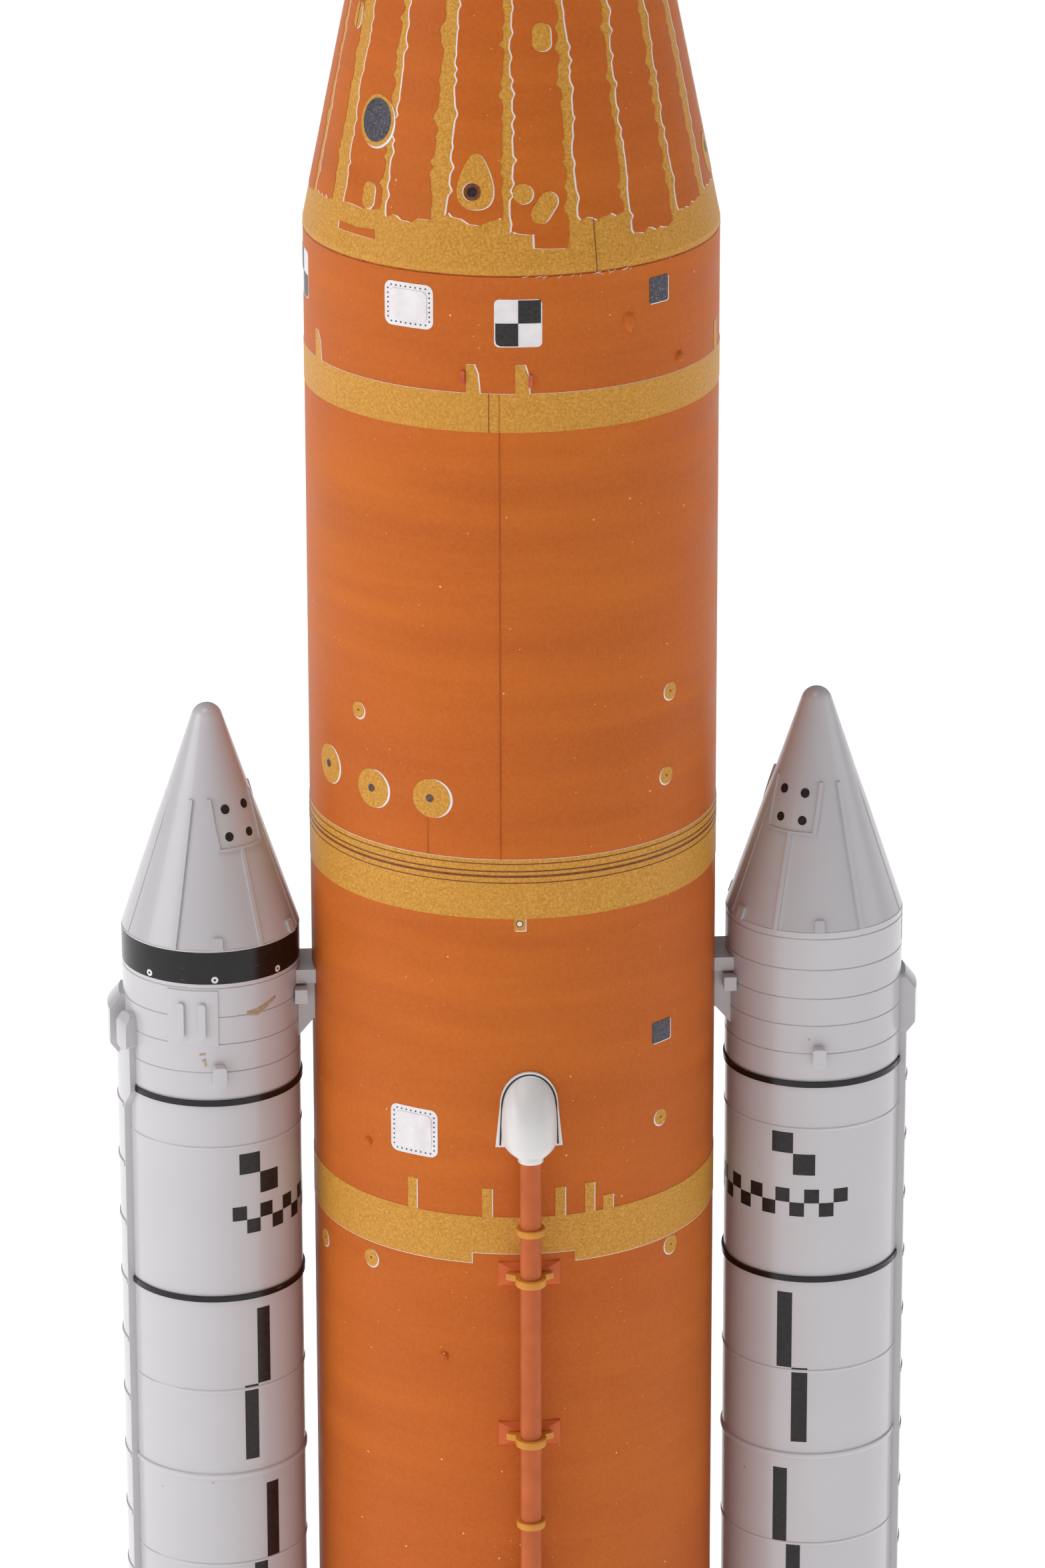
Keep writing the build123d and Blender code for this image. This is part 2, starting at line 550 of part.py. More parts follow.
def make_boosters():
    gap = sector(CASE_R, BOOSTER_X, *TUNNEL_SPAN, 0, BAND_Z)
    tunnel = booster_tunnel()
    pieces = {
        "nose": booster_nose(),
        "forward_skirt": booster_forward_skirt(),
        "case": booster_case(),
        "black_bands": booster_black_bands(tunnel),
        "tunnel": tunnel,
        "front_bracket": booster_bracket(),
        "aft_attach": booster_aft_attach(gap),
        "aft_skirt": booster_aft_skirt(),
        "nozzle": booster_nozzle(),
    }
    for name, angle in FIN_ANGLES.items():
        pieces[f"fin_{name}"] = booster_fin(angle)
    for name, shape in pieces.items():
        right = Pos(BOOSTER_X, 0, 0) * shape
        nodes[f"right_booster_{name}"] = right
        nodes[f"left_booster_{name}"] = Rot(0, 0, 180) * right


def main():
    make_core()
    make_boat_tail()
    make_engines()
    make_motor_mount()
    make_engine_hook()
    make_launch_lugs()
    make_recovery()
    make_nose()
    make_upper_stack()
    make_feedlines()
    make_boosters()
    os.makedirs("parts", exist_ok=True)
    for name, shape in nodes.items():
        export_step(shape, f"parts/{name}.step")
    print(len(nodes), "nodes")


main()
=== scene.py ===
"""Looks of the model rocket: its printed core, strap-on boosters, feedlines, nose, tail and recovery gear.

Lengths are in millimetres until a mesh is made. Azimuths are in degrees, from the front (-Y) towards +X.
"""
import bmesh
import bpy
import random
from math import atan, atan2, ceil, copysign, cos, degrees, exp, floor, hypot, pi, radians, sin
from mathutils import Matrix, Vector


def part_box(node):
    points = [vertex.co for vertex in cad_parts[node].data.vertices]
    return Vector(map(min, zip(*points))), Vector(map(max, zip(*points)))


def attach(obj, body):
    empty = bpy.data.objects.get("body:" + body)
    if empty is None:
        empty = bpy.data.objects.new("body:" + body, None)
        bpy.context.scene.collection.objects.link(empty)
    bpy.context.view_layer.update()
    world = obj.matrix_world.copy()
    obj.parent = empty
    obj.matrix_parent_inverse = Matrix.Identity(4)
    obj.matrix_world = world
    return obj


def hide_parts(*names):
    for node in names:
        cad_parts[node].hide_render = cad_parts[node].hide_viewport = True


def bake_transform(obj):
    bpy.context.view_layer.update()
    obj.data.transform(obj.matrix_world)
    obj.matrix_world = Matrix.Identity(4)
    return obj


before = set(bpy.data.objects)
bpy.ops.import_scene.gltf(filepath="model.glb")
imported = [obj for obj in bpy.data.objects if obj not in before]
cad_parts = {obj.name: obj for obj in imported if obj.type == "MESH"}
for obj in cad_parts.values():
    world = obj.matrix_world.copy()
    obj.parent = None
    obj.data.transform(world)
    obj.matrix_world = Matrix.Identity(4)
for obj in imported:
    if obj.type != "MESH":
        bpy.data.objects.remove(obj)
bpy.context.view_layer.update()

MM = 0.001

# ---- Levels and radii, read from the frame ----------------------------------------------------------

def node_low(name):
    """Lowest corner of a CAD node's box."""
    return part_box(name)[0] / MM


def node_high(name):
    """Highest corner of a CAD node's box."""
    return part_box(name)[1] / MM


CORE_R = node_high("core_wrap").x
CORE_FOOT = node_low("core_wrap").z
SPLIT_Z = node_high("core_wrap").z
BAND_Z = SPLIT_Z - 15.84            # lower edge of the uppermost gold band, the datum of the print
CONE_TOP = node_high("cone_wrap").z
CONE_FOOT = SPLIT_Z + 0.05
CONE_LIP = SPLIT_Z + 0.76
CONE_SLOPE = 0.204
BOOSTER_X = (node_low("right_booster_case").x + node_high("right_booster_case").x) / 2
CASE_R = 9.15

SKIN = 0.25                         # thickness of the printed wraps
FILM = 0.05                         # depth of a printed layer below its surface
LIFT = 0.022                        # step from one printed layer to the next
ROOT = 0.25                         # depth of a raised detail below its surface
HOOP_WALL = 0.2                     # depth of a raised ring below its surface
ARC = 2.0                           # widest face of a printed layer, in degrees


# ---- Camera and light -------------------------------------------------------------------------------

LIGHT_AIM = (0, 0, 0.25)            # the model's middle, in metres like the lamps' places and sizes


def make_camera():
    """Long lens from a little above, turned a few degrees from the front."""
    turn = radians(4.3)
    pitch = radians(19.753)
    yaw = radians(0.084)
    roll = radians(0.115)
    level_ahead = Vector((sin(yaw) * cos(pitch), cos(yaw) * cos(pitch), -sin(pitch)))
    ahead = Matrix.Rotation(-turn, 3, "Z") @ level_ahead
    right = ahead.cross(Vector((0, 0, 1))).normalized()
    down = ahead.cross(right)
    right = right * cos(roll) + down * sin(roll)
    up = right.cross(ahead)
    place = Vector((-51.76, -688.35, BAND_Z + 203.59)) * MM
    data = bpy.data.cameras.new("camera")
    data.lens = 162.87
    data.sensor_width = 36.0
    camera = bpy.data.objects.new("camera", data)
    camera.matrix_world = Matrix.Translation(place) @ Matrix((right, up, -ahead)).transposed().to_4x4()
    bpy.context.scene.collection.objects.link(camera)
    bpy.context.scene.camera = camera


def area_light(name, place, size, power):
    """Round white lamp, aimed at the model's middle."""
    data = bpy.data.lights.new(name, "AREA")
    data.shape = "DISK"
    data.size = size
    data.energy = power
    light = bpy.data.objects.new(name, data)
    light.location = place
    light.rotation_euler = (Vector(LIGHT_AIM) - Vector(place)).to_track_quat("-Z", "Y").to_euler()
    bpy.context.scene.collection.objects.link(light)


def make_light():
    """Dim even surroundings, a large soft lamp on the left, a weaker one on the right and one above."""
    area_light("key", (-1.6, -0.55, 0.8), 1.3, 10.6)
    area_light("fill", (1.7, -0.4, 0.8), 1.3, 3.8)
    area_light("top", (-0.5, -0.5, 2.1), 1.2, 8.5)
    world = bpy.data.worlds.new("surroundings")
    world.use_nodes = True
    backdrop = world.node_tree.nodes["Background"]
    backdrop.inputs["Color"].default_value = (1, 1, 1, 1)
    backdrop.inputs["Strength"].default_value = 0.22
    bpy.context.scene.world = world
    bpy.context.scene.view_settings.view_transform = "Standard"


# ---- Materials --------------------------------------------------------------------------------------

def rgb(red, green, blue):
    """Linear colour of an sRGB colour given in 0 to 255."""
    def linear(value):
        value /= 255
        return value / 12.92 if value <= 0.04045 else ((value + 0.055) / 1.055) ** 2.4
    return (linear(red), linear(green), linear(blue), 1.0)


class Finish:
    """A material, with short calls for the nodes that most materials share."""

    def __init__(self, name, roughness, **inputs):
        self.material = bpy.data.materials.new(name)
        self.material.use_nodes = True
        self.tree = self.material.node_tree
        self.shader = self.tree.nodes["Principled BSDF"]
        self.coords = self.tree.nodes.new("ShaderNodeTexCoord").outputs["Object"]
        self.height = None
        self.shader.inputs["Roughness"].default_value = roughness
        for key, value in inputs.items():
            self.shader.inputs[key.replace("_", " ")].default_value = value

    def feed(self, socket, value):
        """Links a value to a socket, or sets a constant on it."""
        if isinstance(value, bpy.types.NodeSocket):
            self.tree.links.new(value, socket)
        else:
            socket.default_value = value

    def scaled(self, size, stretch, shift):
        """Object coordinates in units of a size in mm."""
        mapping = self.tree.nodes.new("ShaderNodeMapping")
        mapping.inputs["Location"].default_value = (shift, shift * 1.7, shift * 0.6)
        mapping.inputs["Scale"].default_value = [1 / (size * MM * s) for s in stretch]
        self.feed(mapping.inputs["Vector"], self.coords)
        return mapping.outputs["Vector"]

    def noise(self, size, detail=2.0, stretch=(1, 1, 1), shift=0.0):
        """Soft noise with features of a size in mm, drawn out along an axis by stretch."""
        texture = self.tree.nodes.new("ShaderNodeTexNoise")
        texture.inputs["Scale"].default_value = 1.0
        texture.inputs["Detail"].default_value = detail
        self.feed(texture.inputs["Vector"], self.scaled(size, stretch, shift))
        return texture.outputs["Fac"]

    def cells(self, size, shift=0.0):
        """Distance to scattered points, in cells of a size in mm."""
        texture = self.tree.nodes.new("ShaderNodeTexVoronoi")
        texture.inputs["Scale"].default_value = 1.0
        self.feed(texture.inputs["Vector"], self.scaled(size, (1, 1, 1), shift))
        return texture.outputs["Distance"]

    def waves(self, size):
        """Fine slanting ridges, about a size in mm apart."""
        texture = self.tree.nodes.new("ShaderNodeTexWave")
        texture.bands_direction = "DIAGONAL"
        texture.inputs["Scale"].default_value = 0.31
        self.feed(texture.inputs["Vector"], self.scaled(size, (1, 1, 1), 0.0))
        return texture.outputs["Fac"]

    def ramp(self, value, low, high, dark=0.0, light=1.0):
        """Value stretched so that low becomes dark and high becomes light."""
        node = self.tree.nodes.new("ShaderNodeMapRange")
        node.inputs["From Min"].default_value = low
        node.inputs["From Max"].default_value = high
        node.inputs["To Min"].default_value = dark
        node.inputs["To Max"].default_value = light
        self.feed(node.inputs["Value"], value)
        return node.outputs["Result"]

    def mix(self, share, first, second):
        """Second colour over the first, by a share."""
        node = self.tree.nodes.new("ShaderNodeMix")
        node.data_type = "RGBA"
        self.feed(node.inputs[0], share)
        self.feed(node.inputs[6], first)
        self.feed(node.inputs[7], second)
        return node.outputs[2]

    def times(self, first, second):
        """Product of two values."""
        node = self.tree.nodes.new("ShaderNodeMath")
        node.operation = "MULTIPLY"
        self.feed(node.inputs[0], first)
        self.feed(node.inputs[1], second)
        return node.outputs[0]

    def colour(self, value):
        """Sets or links the base colour."""
        self.feed(self.shader.inputs["Base Color"], value)

    def rough(self, value):
        """Sets or links the roughness."""
        self.feed(self.shader.inputs["Roughness"], value)

    def bump(self, value, depth, strength):
        """Relief of a depth in mm, on top of any relief already there."""
        node = self.tree.nodes.new("ShaderNodeBump")
        node.inputs["Distance"].default_value = depth * MM
        node.inputs["Strength"].default_value = strength
        self.feed(node.inputs["Height"], value)
        if self.height is not None:
            self.feed(node.inputs["Normal"], self.height)
        self.height = node.outputs["Normal"]
        self.feed(self.shader.inputs["Normal"], self.height)


def printed_orange():
    """Orange print on the wrap: foam mottling in level streaks, fine grain, and a little dust."""
    f = Finish("printed_orange", 0.45, Specular_IOR_Level=0.1)
    streaks = f.ramp(f.noise(9.0, 3.0, (3.2, 3.2, 0.35)), 0.3, 0.7)
    patches = f.ramp(f.noise(26.0, 2.0, shift=3.0), 0.3, 0.7)
    grain = f.ramp(f.noise(0.35, 2.0), 0.3, 0.7)
    base = f.mix(streaks, rgb(186, 93, 30), rgb(201, 106, 35))
    base = f.mix(f.ramp(patches, 0, 1, 0.0, 0.55), base, rgb(188, 88, 34))
    base = f.mix(f.ramp(grain, 0, 1, 0.0, 0.14), base, rgb(222, 140, 84))
    crowd = f.ramp(f.noise(7.0, 2.0, shift=5.0), 0.46, 0.56)
    dust = f.ramp(f.cells(3.3, shift=1.0), 0.024, 0.036, 1.0, 0.0)
    fine_dust = f.times(f.ramp(f.cells(1.3, shift=4.0), 0.04, 0.07, 0.9, 0.0), crowd)
    dirt = f.ramp(f.cells(9.0, shift=8.0), 0.014, 0.022, 0.75, 0.0)
    base = f.mix(dust, base, rgb(240, 186, 140))
    base = f.mix(fine_dust, base, rgb(234, 166, 112))
    base = f.mix(dirt, base, rgb(122, 58, 34))
    f.colour(base)
    f.rough(f.ramp(streaks, 0, 1, 0.42, 0.52))
    f.bump(f.noise(2.4, 3.0, (2.5, 2.5, 0.6)), 0.02, 0.5)
    f.bump(f.noise(0.3, 1.0), 0.008, 0.4)
    return f.material


def printed_gold():
    """Gold print with a coarse sparkling grain."""
    f = Finish("printed_gold", 0.45, Specular_IOR_Level=0.15)
    grain = f.ramp(f.noise(0.24, 2.5), 0.34, 0.66)
    flecks = f.ramp(f.cells(0.8), 0.1, 0.24, 0.22, 0.0)
    tone = f.ramp(f.noise(14.0, 2.0), 0.3, 0.7)
    base = f.mix(grain, rgb(188, 131, 46), rgb(221, 161, 74))
    base = f.mix(f.ramp(tone, 0, 1, 0.0, 0.3), base, rgb(198, 138, 52))
    base = f.mix(flecks, base, rgb(238, 190, 112))
    f.colour(base)
    f.rough(f.ramp(grain, 0, 1, 0.34, 0.55))
    f.bump(grain, 0.03, 0.7)
    return f.material


def printed_white():
    """White ink and the bare paper that shows where the colours miss each other."""
    f = Finish("printed_white", 0.4)
    tone = f.ramp(f.noise(1.6, 3.0), 0.3, 0.7)
    f.colour(f.mix(tone, rgb(224, 216, 219), rgb(236, 232, 234)))
    f.bump(f.noise(0.5, 2.0), 0.006, 0.4)
    return f.material


def printed_grey():
    """Dark grey ink sown with pale specks."""
    f = Finish("printed_grey", 0.4, Specular_IOR_Level=0.3)
    grain = f.ramp(f.noise(0.26, 2.0), 0.36, 0.64)
    specks = f.ramp(f.cells(0.42), 0.1, 0.2, 0.6, 0.0)
    base = f.mix(grain, rgb(54, 52, 58), rgb(86, 83, 92))
    f.colour(f.mix(specks, base, rgb(170, 164, 178)))
    f.bump(grain, 0.008, 0.4)
    return f.material


def grained(name, roughness, dark, light, noise, depth, low=0.3, **inputs):
    """Ink or paint whose colour varies with a fine grain that is slightly raised.

    noise holds the arguments of the grain's noise, and depth is the relief in mm.
    """
    f = Finish(name, roughness, **inputs)
    grain = f.ramp(f.noise(*noise), low, 0.7)
    f.colour(f.mix(grain, rgb(*dark), rgb(*light)))
    f.bump(grain, depth, 0.4)
    return f.material


def printed_black():
    """Black ink with faint lighter grain."""
    return grained("printed_black", 0.36, (30, 26, 26), (52, 47, 47), (0.3, 2.0), 0.006, low=0.35,
                   Specular_IOR_Level=0.3)


def printed_seam_and_shadow():
    """Orange print that is a little darker, where the wrap's edges meet, and also a painted shadow along the
    cone's foot.
    """
    return grained("printed_seam_and_shadow", 0.5, (150, 70, 28), (188, 96, 34), (1.5, 3.0, (1, 1, 3)), 0.01,
                   Specular_IOR_Level=0.1)


def printed_nub():
    """Glossy red-brown paint on the small lugs beside the teeth."""
    return grained("printed_nub", 0.3, (176, 64, 26), (206, 92, 44), (0.5, 2.0), 0.01)


def printed_brown():
    """Thin brown ink, for lines and the rings round dots."""
    return grained("printed_brown", 0.42, (104, 52, 30), (140, 78, 42), (0.35, 2.0), 0.006,
                   Specular_IOR_Level=0.2)


def booster_print():
    """Black decal film on the boosters."""
    return grained("booster_print", 0.3, (24, 19, 20), (42, 36, 37), (0.5, 3.0), 0.004,
                   Specular_IOR_Level=0.3)


def white_plastic(name="white_plastic", tone=(203, 200, 204), roughness=0.3):
    """Glossy off-white moulded plastic with very faint clouding and a little dirt."""
    f = Finish(name, roughness, Coat_Weight=0.35, Coat_Roughness=0.12)
    cloud = f.ramp(f.noise(9.0, 3.0, shift=11.0), 0.0, 1.0)
    dirt = f.ramp(f.cells(7.0, shift=2.0), 0.012, 0.03, 0.6, 0.0)
    base = f.mix(cloud, rgb(*tone), rgb(*(c - 8 for c in tone)))
    f.colour(f.mix(dirt, base, rgb(120, 104, 100)))
    f.rough(f.ramp(cloud, 0, 1, roughness - 0.04, roughness + 0.05))
    f.bump(f.noise(3.0, 2.0), 0.012, 0.35)
    f.bump(f.noise(0.5, 2.0), 0.002, 0.3)
    return f.material


def black_plastic():
    """Glossy black paint with faint orange peel and a few pale scuffs."""
    f = Finish("black_plastic", 0.24, Specular_IOR_Level=0.3, Coat_Weight=0.08, Coat_Roughness=0.15)
    tone = f.ramp(f.noise(1.2, 3.0), 0.3, 0.7)
    scuffs = f.ramp(f.noise(0.8, 4.0, (2.5, 2.5, 0.4), 5.0), 0.7, 0.78, 0.0, 0.6)
    base = f.mix(tone, rgb(12, 9, 10), rgb(22, 18, 19))
    f.colour(f.mix(scuffs, base, rgb(120, 114, 112)))
    f.bump(f.noise(0.6, 2.0), 0.01, 0.4)
    return f.material


def coloured_plastic(name, red, green, blue):
    """Painted or moulded part with slight unevenness in tone."""
    roughness = 0.42
    f = Finish(name, roughness, Specular_IOR_Level=0.3)
    tone = f.ramp(f.noise(3.0, 3.0), 0.3, 0.7)
    dust = f.ramp(f.cells(3.5, shift=4.0), 0.02, 0.035, 0.7, 0.0)
    base = f.mix(tone, rgb(red, green, blue), rgb(red * 0.92, green * 0.9, blue * 0.88))
    f.colour(f.mix(dust, base, rgb(236, 190, 150)))
    f.rough(f.ramp(tone, 0, 1, roughness - 0.05, roughness + 0.06))
    f.bump(f.noise(0.7, 2.0), 0.01, 0.5)
    return f.material


def clear_plastic():
    """Clear sheet plastic of the fins, with fine scratches."""
    f = Finish("clear_plastic", 0.04, Transmission_Weight=1.0, IOR=1.49)
    haze = f.ramp(f.noise(5.0, 3.0), 0.4, 0.8)
    f.colour(f.mix(haze, rgb(246, 250, 251), rgb(238, 245, 247)))
    f.rough(f.ramp(f.noise(0.4, 4.0, (8, 1, 1)), 0.45, 0.8, 0.03, 0.1))
    return f.material


def metal_paint():
    """Dark metallic paint of the engines and nozzles."""
    f = Finish("metal_paint", 0.34, Metallic=0.75)
    tone = f.ramp(f.noise(2.0, 3.0, (1, 1, 3)), 0.3, 0.7)
    soot = f.ramp(f.noise(4.0, 3.0, shift=6.0), 0.45, 0.75, 0.0, 0.7)
    base = f.mix(tone, rgb(128, 122, 116), rgb(160, 152, 142))
    f.colour(f.mix(soot, base, rgb(70, 62, 56)))
    f.rough(f.ramp(soot, 0, 0.7, 0.3, 0.55))
    f.bump(f.noise(0.5, 2.0), 0.01, 0.5)
    return f.material


def card(name="card", tone=(176, 140, 98)):
    """Brown card and tube paper, with fibres."""
    f = Finish(name, 0.82)
    fibres = f.ramp(f.noise(0.5, 4.0, (5, 5, 1)), 0.35, 0.65)
    cloud = f.ramp(f.noise(6.0, 2.0), 0.3, 0.7)
    base = f.mix(fibres, rgb(*tone), rgb(*(c * 0.86 for c in tone)))
    f.colour(f.mix(f.ramp(cloud, 0, 1, 0.0, 0.4), base, rgb(*(min(255, c * 1.1) for c in tone))))
    f.bump(fibres, 0.02, 0.7)
    return f.material


def spring_steel():
    """Blued spring strip, brushed along its length."""
    f = Finish("spring_steel", 0.3, Metallic=1.0)
    brush = f.ramp(f.noise(0.25, 3.0, (1, 1, 40)), 0.3, 0.7)
    f.colour(f.mix(brush, rgb(150, 152, 158), rgb(188, 190, 196)))
    f.rough(f.ramp(brush, 0, 1, 0.24, 0.4))
    f.bump(brush, 0.003, 0.5)
    return f.material


def woven(name, tone, thread):
    """Braided cotton or elastic."""
    f = Finish(name, 0.85, Sheen_Weight=0.3)
    along = f.waves(thread * 2)
    fuzz = f.ramp(f.noise(0.2, 3.0), 0.3, 0.7)
    base = f.mix(along, rgb(*(c * 0.84 for c in tone)), rgb(*tone))
    f.colour(f.mix(f.ramp(fuzz, 0, 1, 0.0, 0.3), base, rgb(*(min(255, c * 1.12) for c in tone))))
    f.bump(along, 0.08, 0.7)
    f.bump(fuzz, 0.02, 0.5)
    return f.material


def canopy_film():
    """Thin plastic sheet of the parachute, creased."""
    f = Finish("canopy_film", 0.34, Transmission_Weight=0.12)
    crease = f.ramp(f.noise(5.0, 4.0, (1, 1, 2.4)), 0.3, 0.7)
    f.colour(f.mix(crease, rgb(208, 84, 38), rgb(226, 112, 58)))
    f.rough(f.ramp(crease, 0, 1, 0.28, 0.44))
    f.bump(crease, 0.25, 0.7)
    f.bump(f.noise(0.9, 3.0), 0.04, 0.5)
    return f.material


def clay():
    """Grey modelling clay pressed in as nose weight."""
    f = Finish("clay", 0.75)
    tone = f.ramp(f.noise(2.5, 4.0), 0.3, 0.7)
    f.colour(f.mix(tone, rgb(112, 110, 108), rgb(138, 135, 130)))
    f.bump(tone, 0.4, 0.8)
    f.bump(f.noise(0.6, 3.0), 0.06, 0.6)
    return f.material


def scuff():
    """Light brown rub marks."""
    f = Finish("scuff", 0.5)
    f.colour(f.mix(f.ramp(f.noise(0.4, 3.0), 0.3, 0.7), rgb(188, 164, 140), rgb(166, 134, 104)))
    f.bump(f.noise(0.4, 2.0), 0.01, 0.5)
    return f.material


def make_materials():
    """Every material, by a short name."""
    return {
        "orange": printed_orange(), "gold": printed_gold(), "white": printed_white(),
        "black": printed_black(), "grey": printed_grey(), "brown": printed_brown(),
        # The seam ink also draws a painted shadow: the dark line along the foot of the cone's print.
        "seam": printed_seam_and_shadow(), "nub": printed_nub(), "gloss": white_plastic(),
        "hood": white_plastic("hood_white", (226, 223, 222), 0.45),
        "satin": white_plastic("satin_white", (206, 204, 204), 0.42),
        "gloss_black": black_plastic(), "booster_black": booster_print(),
        "pipe": coloured_plastic("pipe_orange", 199, 98, 44),
        "pad_orange": coloured_plastic("pad_orange", 212, 100, 42),
        "ochre": coloured_plastic("ochre", 218, 146, 52),
        "tail_orange": coloured_plastic("tail_orange", 196, 98, 38),
        "clear": clear_plastic(), "engine": metal_paint(), "card": card(),
        "tube_paper": card("tube_paper", (214, 200, 176)), "steel": spring_steel(),
        "cotton": woven("line_cotton", (228, 224, 214), 0.25),
        "elastic": woven("elastic", (226, 222, 212), 0.4), "canopy": canopy_film(), "clay": clay(),
        "scuff": scuff(),
    }


# ---- Meshes -----------------------------------------------------------------------------------------

SHARP = 38.0                        # edges that turn by more degrees than this aren't smoothed


def add_mesh(name, points, faces, material, body, sharp=SHARP):
    """New piece from points in mm, smooth but for edges sharper than an angle."""
    mesh = bpy.data.meshes.new(name)
    mesh.from_pydata([Vector(p) * MM for p in points], [], faces)
    mesh.validate()
    mesh.shade_smooth()
    mesh.set_sharp_from_angle(angle=radians(sharp))
    mesh.materials.append(material)
    piece = bpy.data.objects.new(name, mesh)
    bpy.context.scene.collection.objects.link(piece)
    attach(piece, body)
    return piece


def lathe(name, profile, material, body, slot, centre=0.0, segments=240, sharp=SHARP, across=0.0):
    """Solid of revolution from a closed outline of (radius, z) points, each radius above zero."""
    points = []
    for k in range(segments):
        angle = 2 * pi * k / segments
        points += [(centre + r * sin(angle), across - r * cos(angle), z) for r, z in profile]
    count = len(profile)
    faces = []
    for k in range(segments):
        here = k * count
        there = (k + 1) % segments * count
        for i in range(count):
            j = (i + 1) % count
            faces.append((here + i, there + i, there + j, here + j))
    return add_mesh(name, points, faces, material, body, sharp)


class Round:
    """A round body that prints and small parts lie on: its axis and its radius at each height."""

    def __init__(self, radius_at, body, centre=0.0, creases=()):
        self.radius_at = radius_at
        self.body = body
        self.centre = centre
        self.creases = creases

    def at(self, azimuth, z, lift):
        """Point on the surface, or a lift above it."""
        radius = self.radius_at(z) + lift
        angle = radians(azimuth)
        return (self.centre + radius * sin(angle), -radius * cos(angle), z)

    def turn(self, length, z):
        """Degrees round the body that a length covers at height z."""
        return degrees(length / self.radius_at(z))


core = Round(lambda z: CORE_R, "airframe")
cone = Round(lambda z: CORE_R - CONE_SLOPE * max(0.0, z - CONE_LIP), "nose", creases=(CONE_LIP,))


def cut_loop(loop, arc, levels):
    """One closed loop of (azimuth, z) as flat faces, cut every few degrees and at some heights."""
    work = bmesh.new()
    work.faces.new([work.verts.new((azimuth, z, 0)) for azimuth, z in loop])
    azimuths = [azimuth for azimuth, _ in loop]
    steps = range(floor(min(azimuths) / arc), ceil(max(azimuths) / arc) + 1)
    planes = [((k * arc, 0, 0), (1, 0, 0)) for k in steps]
    planes += [((0, z, 0), (0, 1, 0)) for z in levels]
    for point, normal in planes:
        parts = work.verts[:] + work.edges[:] + work.faces[:]
        bmesh.ops.bisect_plane(work, geom=parts, plane_co=point, plane_no=normal)
    bmesh.ops.remove_doubles(work, verts=work.verts, dist=1e-4)
    work.normal_update()
    for face in work.faces:
        if face.normal.z < 0:
            face.normal_flip()
    work.verts.index_update()
    return work


def laid_mesh(name, loops, surface, top, depth, material, cuts=(), crown=None,
              shift=(0.0, 0.0), arc=ARC):
    """Closed loops of (azimuth, z) laid on a round body as a solid, from a depth below it to a height above.

    crown, where given, multiplies the height at (azimuth, z), and cuts are further heights to divide it at.
    """
    points = []
    faces = []
    for loop in loops:
        along = surface.turn(shift[0], sum(z for _, z in loop) / len(loop))
        moved = [(azimuth + along, z + shift[1]) for azimuth, z in loop]
        work = cut_loop(moved, arc, (*surface.creases, *cuts))
        flat = [(v.co.x, v.co.y) for v in work.verts]
        ends = min(az for az, _ in flat), max(az for az, _ in flat)
        full_turn = ends[1] - ends[0] > 359.9
        if full_turn:
            flat = [(ends[0] if az > ends[1] - 1e-3 else az, z) for az, z in flat]
        first = len(points)
        count = len(flat)
        points += [surface.at(az, z, top * crown(az, z) if crown else top) for az, z in flat]
        points += [surface.at(az, z, -depth) for az, z in flat]
        for face in work.faces:
            ring = [first + v.index for v in face.verts]
            faces += [ring, [count + i for i in reversed(ring)]]
        for edge in work.edges:
            if len(edge.link_loops) != 1 or full_turn and edge_on(edge, ends):
                continue
            start = first + edge.link_loops[0].vert.index
            end = first + edge.link_loops[0].link_loop_next.vert.index
            faces.append((end, start, count + start, count + end))
        work.free()
        if full_turn:
            points, faces = join_seam(points, faces, first)
    return add_mesh(name, points, faces, material, surface.body)


def edge_on(edge, ends):
    """True for an edge that runs up one of the two ends of a full turn."""
    return any(all(abs(v.co.x - end) < 1e-3 for v in edge.verts) for end in ends)


def join_seam(points, faces, first):
    """Merges the points that meet where a loop has gone full turn round."""
    kept = points[:first]
    places = {}
    new = list(range(first))
    for point in points[first:]:
        key = tuple(round(c, 4) for c in point)
        if key not in places:
            places[key] = len(kept)
            kept.append(point)
        new.append(places[key])
    return kept, [[new[i] for i in face] for face in faces]


def film(name, loops, surface, layer, material, shift=(0.0, 0.0)):
    """Thin printed layer, a step above the layer under it."""
    return laid_mesh(name, loops, surface, layer * LIFT, FILM, material, shift=shift)


def hoop(name, surface, low, high, height, material, slot, across=0.0):
    """Raised ring round a body, with slanted edges."""
    below = surface.radius_at(low)
    above = surface.radius_at(high)
    edge = min(0.5 * height, 0.3 * (high - low))
    profile = [(below, low), (below + height, low + edge), (above + height, high - edge), (above, high),
               (above - HOOP_WALL, high), (below - HOOP_WALL, low)]
    return lathe(name, profile, material, surface.body, slot, surface.centre, segments=120, sharp=20,
                 across=across)


def outline_of(name, centre=0.0):
    """Radius of a turned CAD node at each height, as the convex outline of its mesh."""
    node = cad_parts[name]
    widest = {}
    for vertex in node.data.vertices:
        place = node.matrix_world @ vertex.co / MM
        z = round(place.z, 2)
        widest[z] = max(widest.get(z, 0.0), hypot(place.x - centre, place.y))
    hull = []
    for z, radius in sorted(widest.items()):
        while len(hull) > 1:
            (z0, r0), (z1, r1) = hull[-2:]
            if (r1 - r0) * (z - z0) > (radius - r0) * (z1 - z0):
                break
            hull.pop()
        hull.append((z, radius))

    def radius_at(z):
        for (z0, r0), (z1, r1) in zip(hull, hull[1:]):
            if z <= z1:
                return r0 + (r1 - r0) * max(0.0, (z - z0) / (z1 - z0))
        return hull[-1][1]

    return radius_at


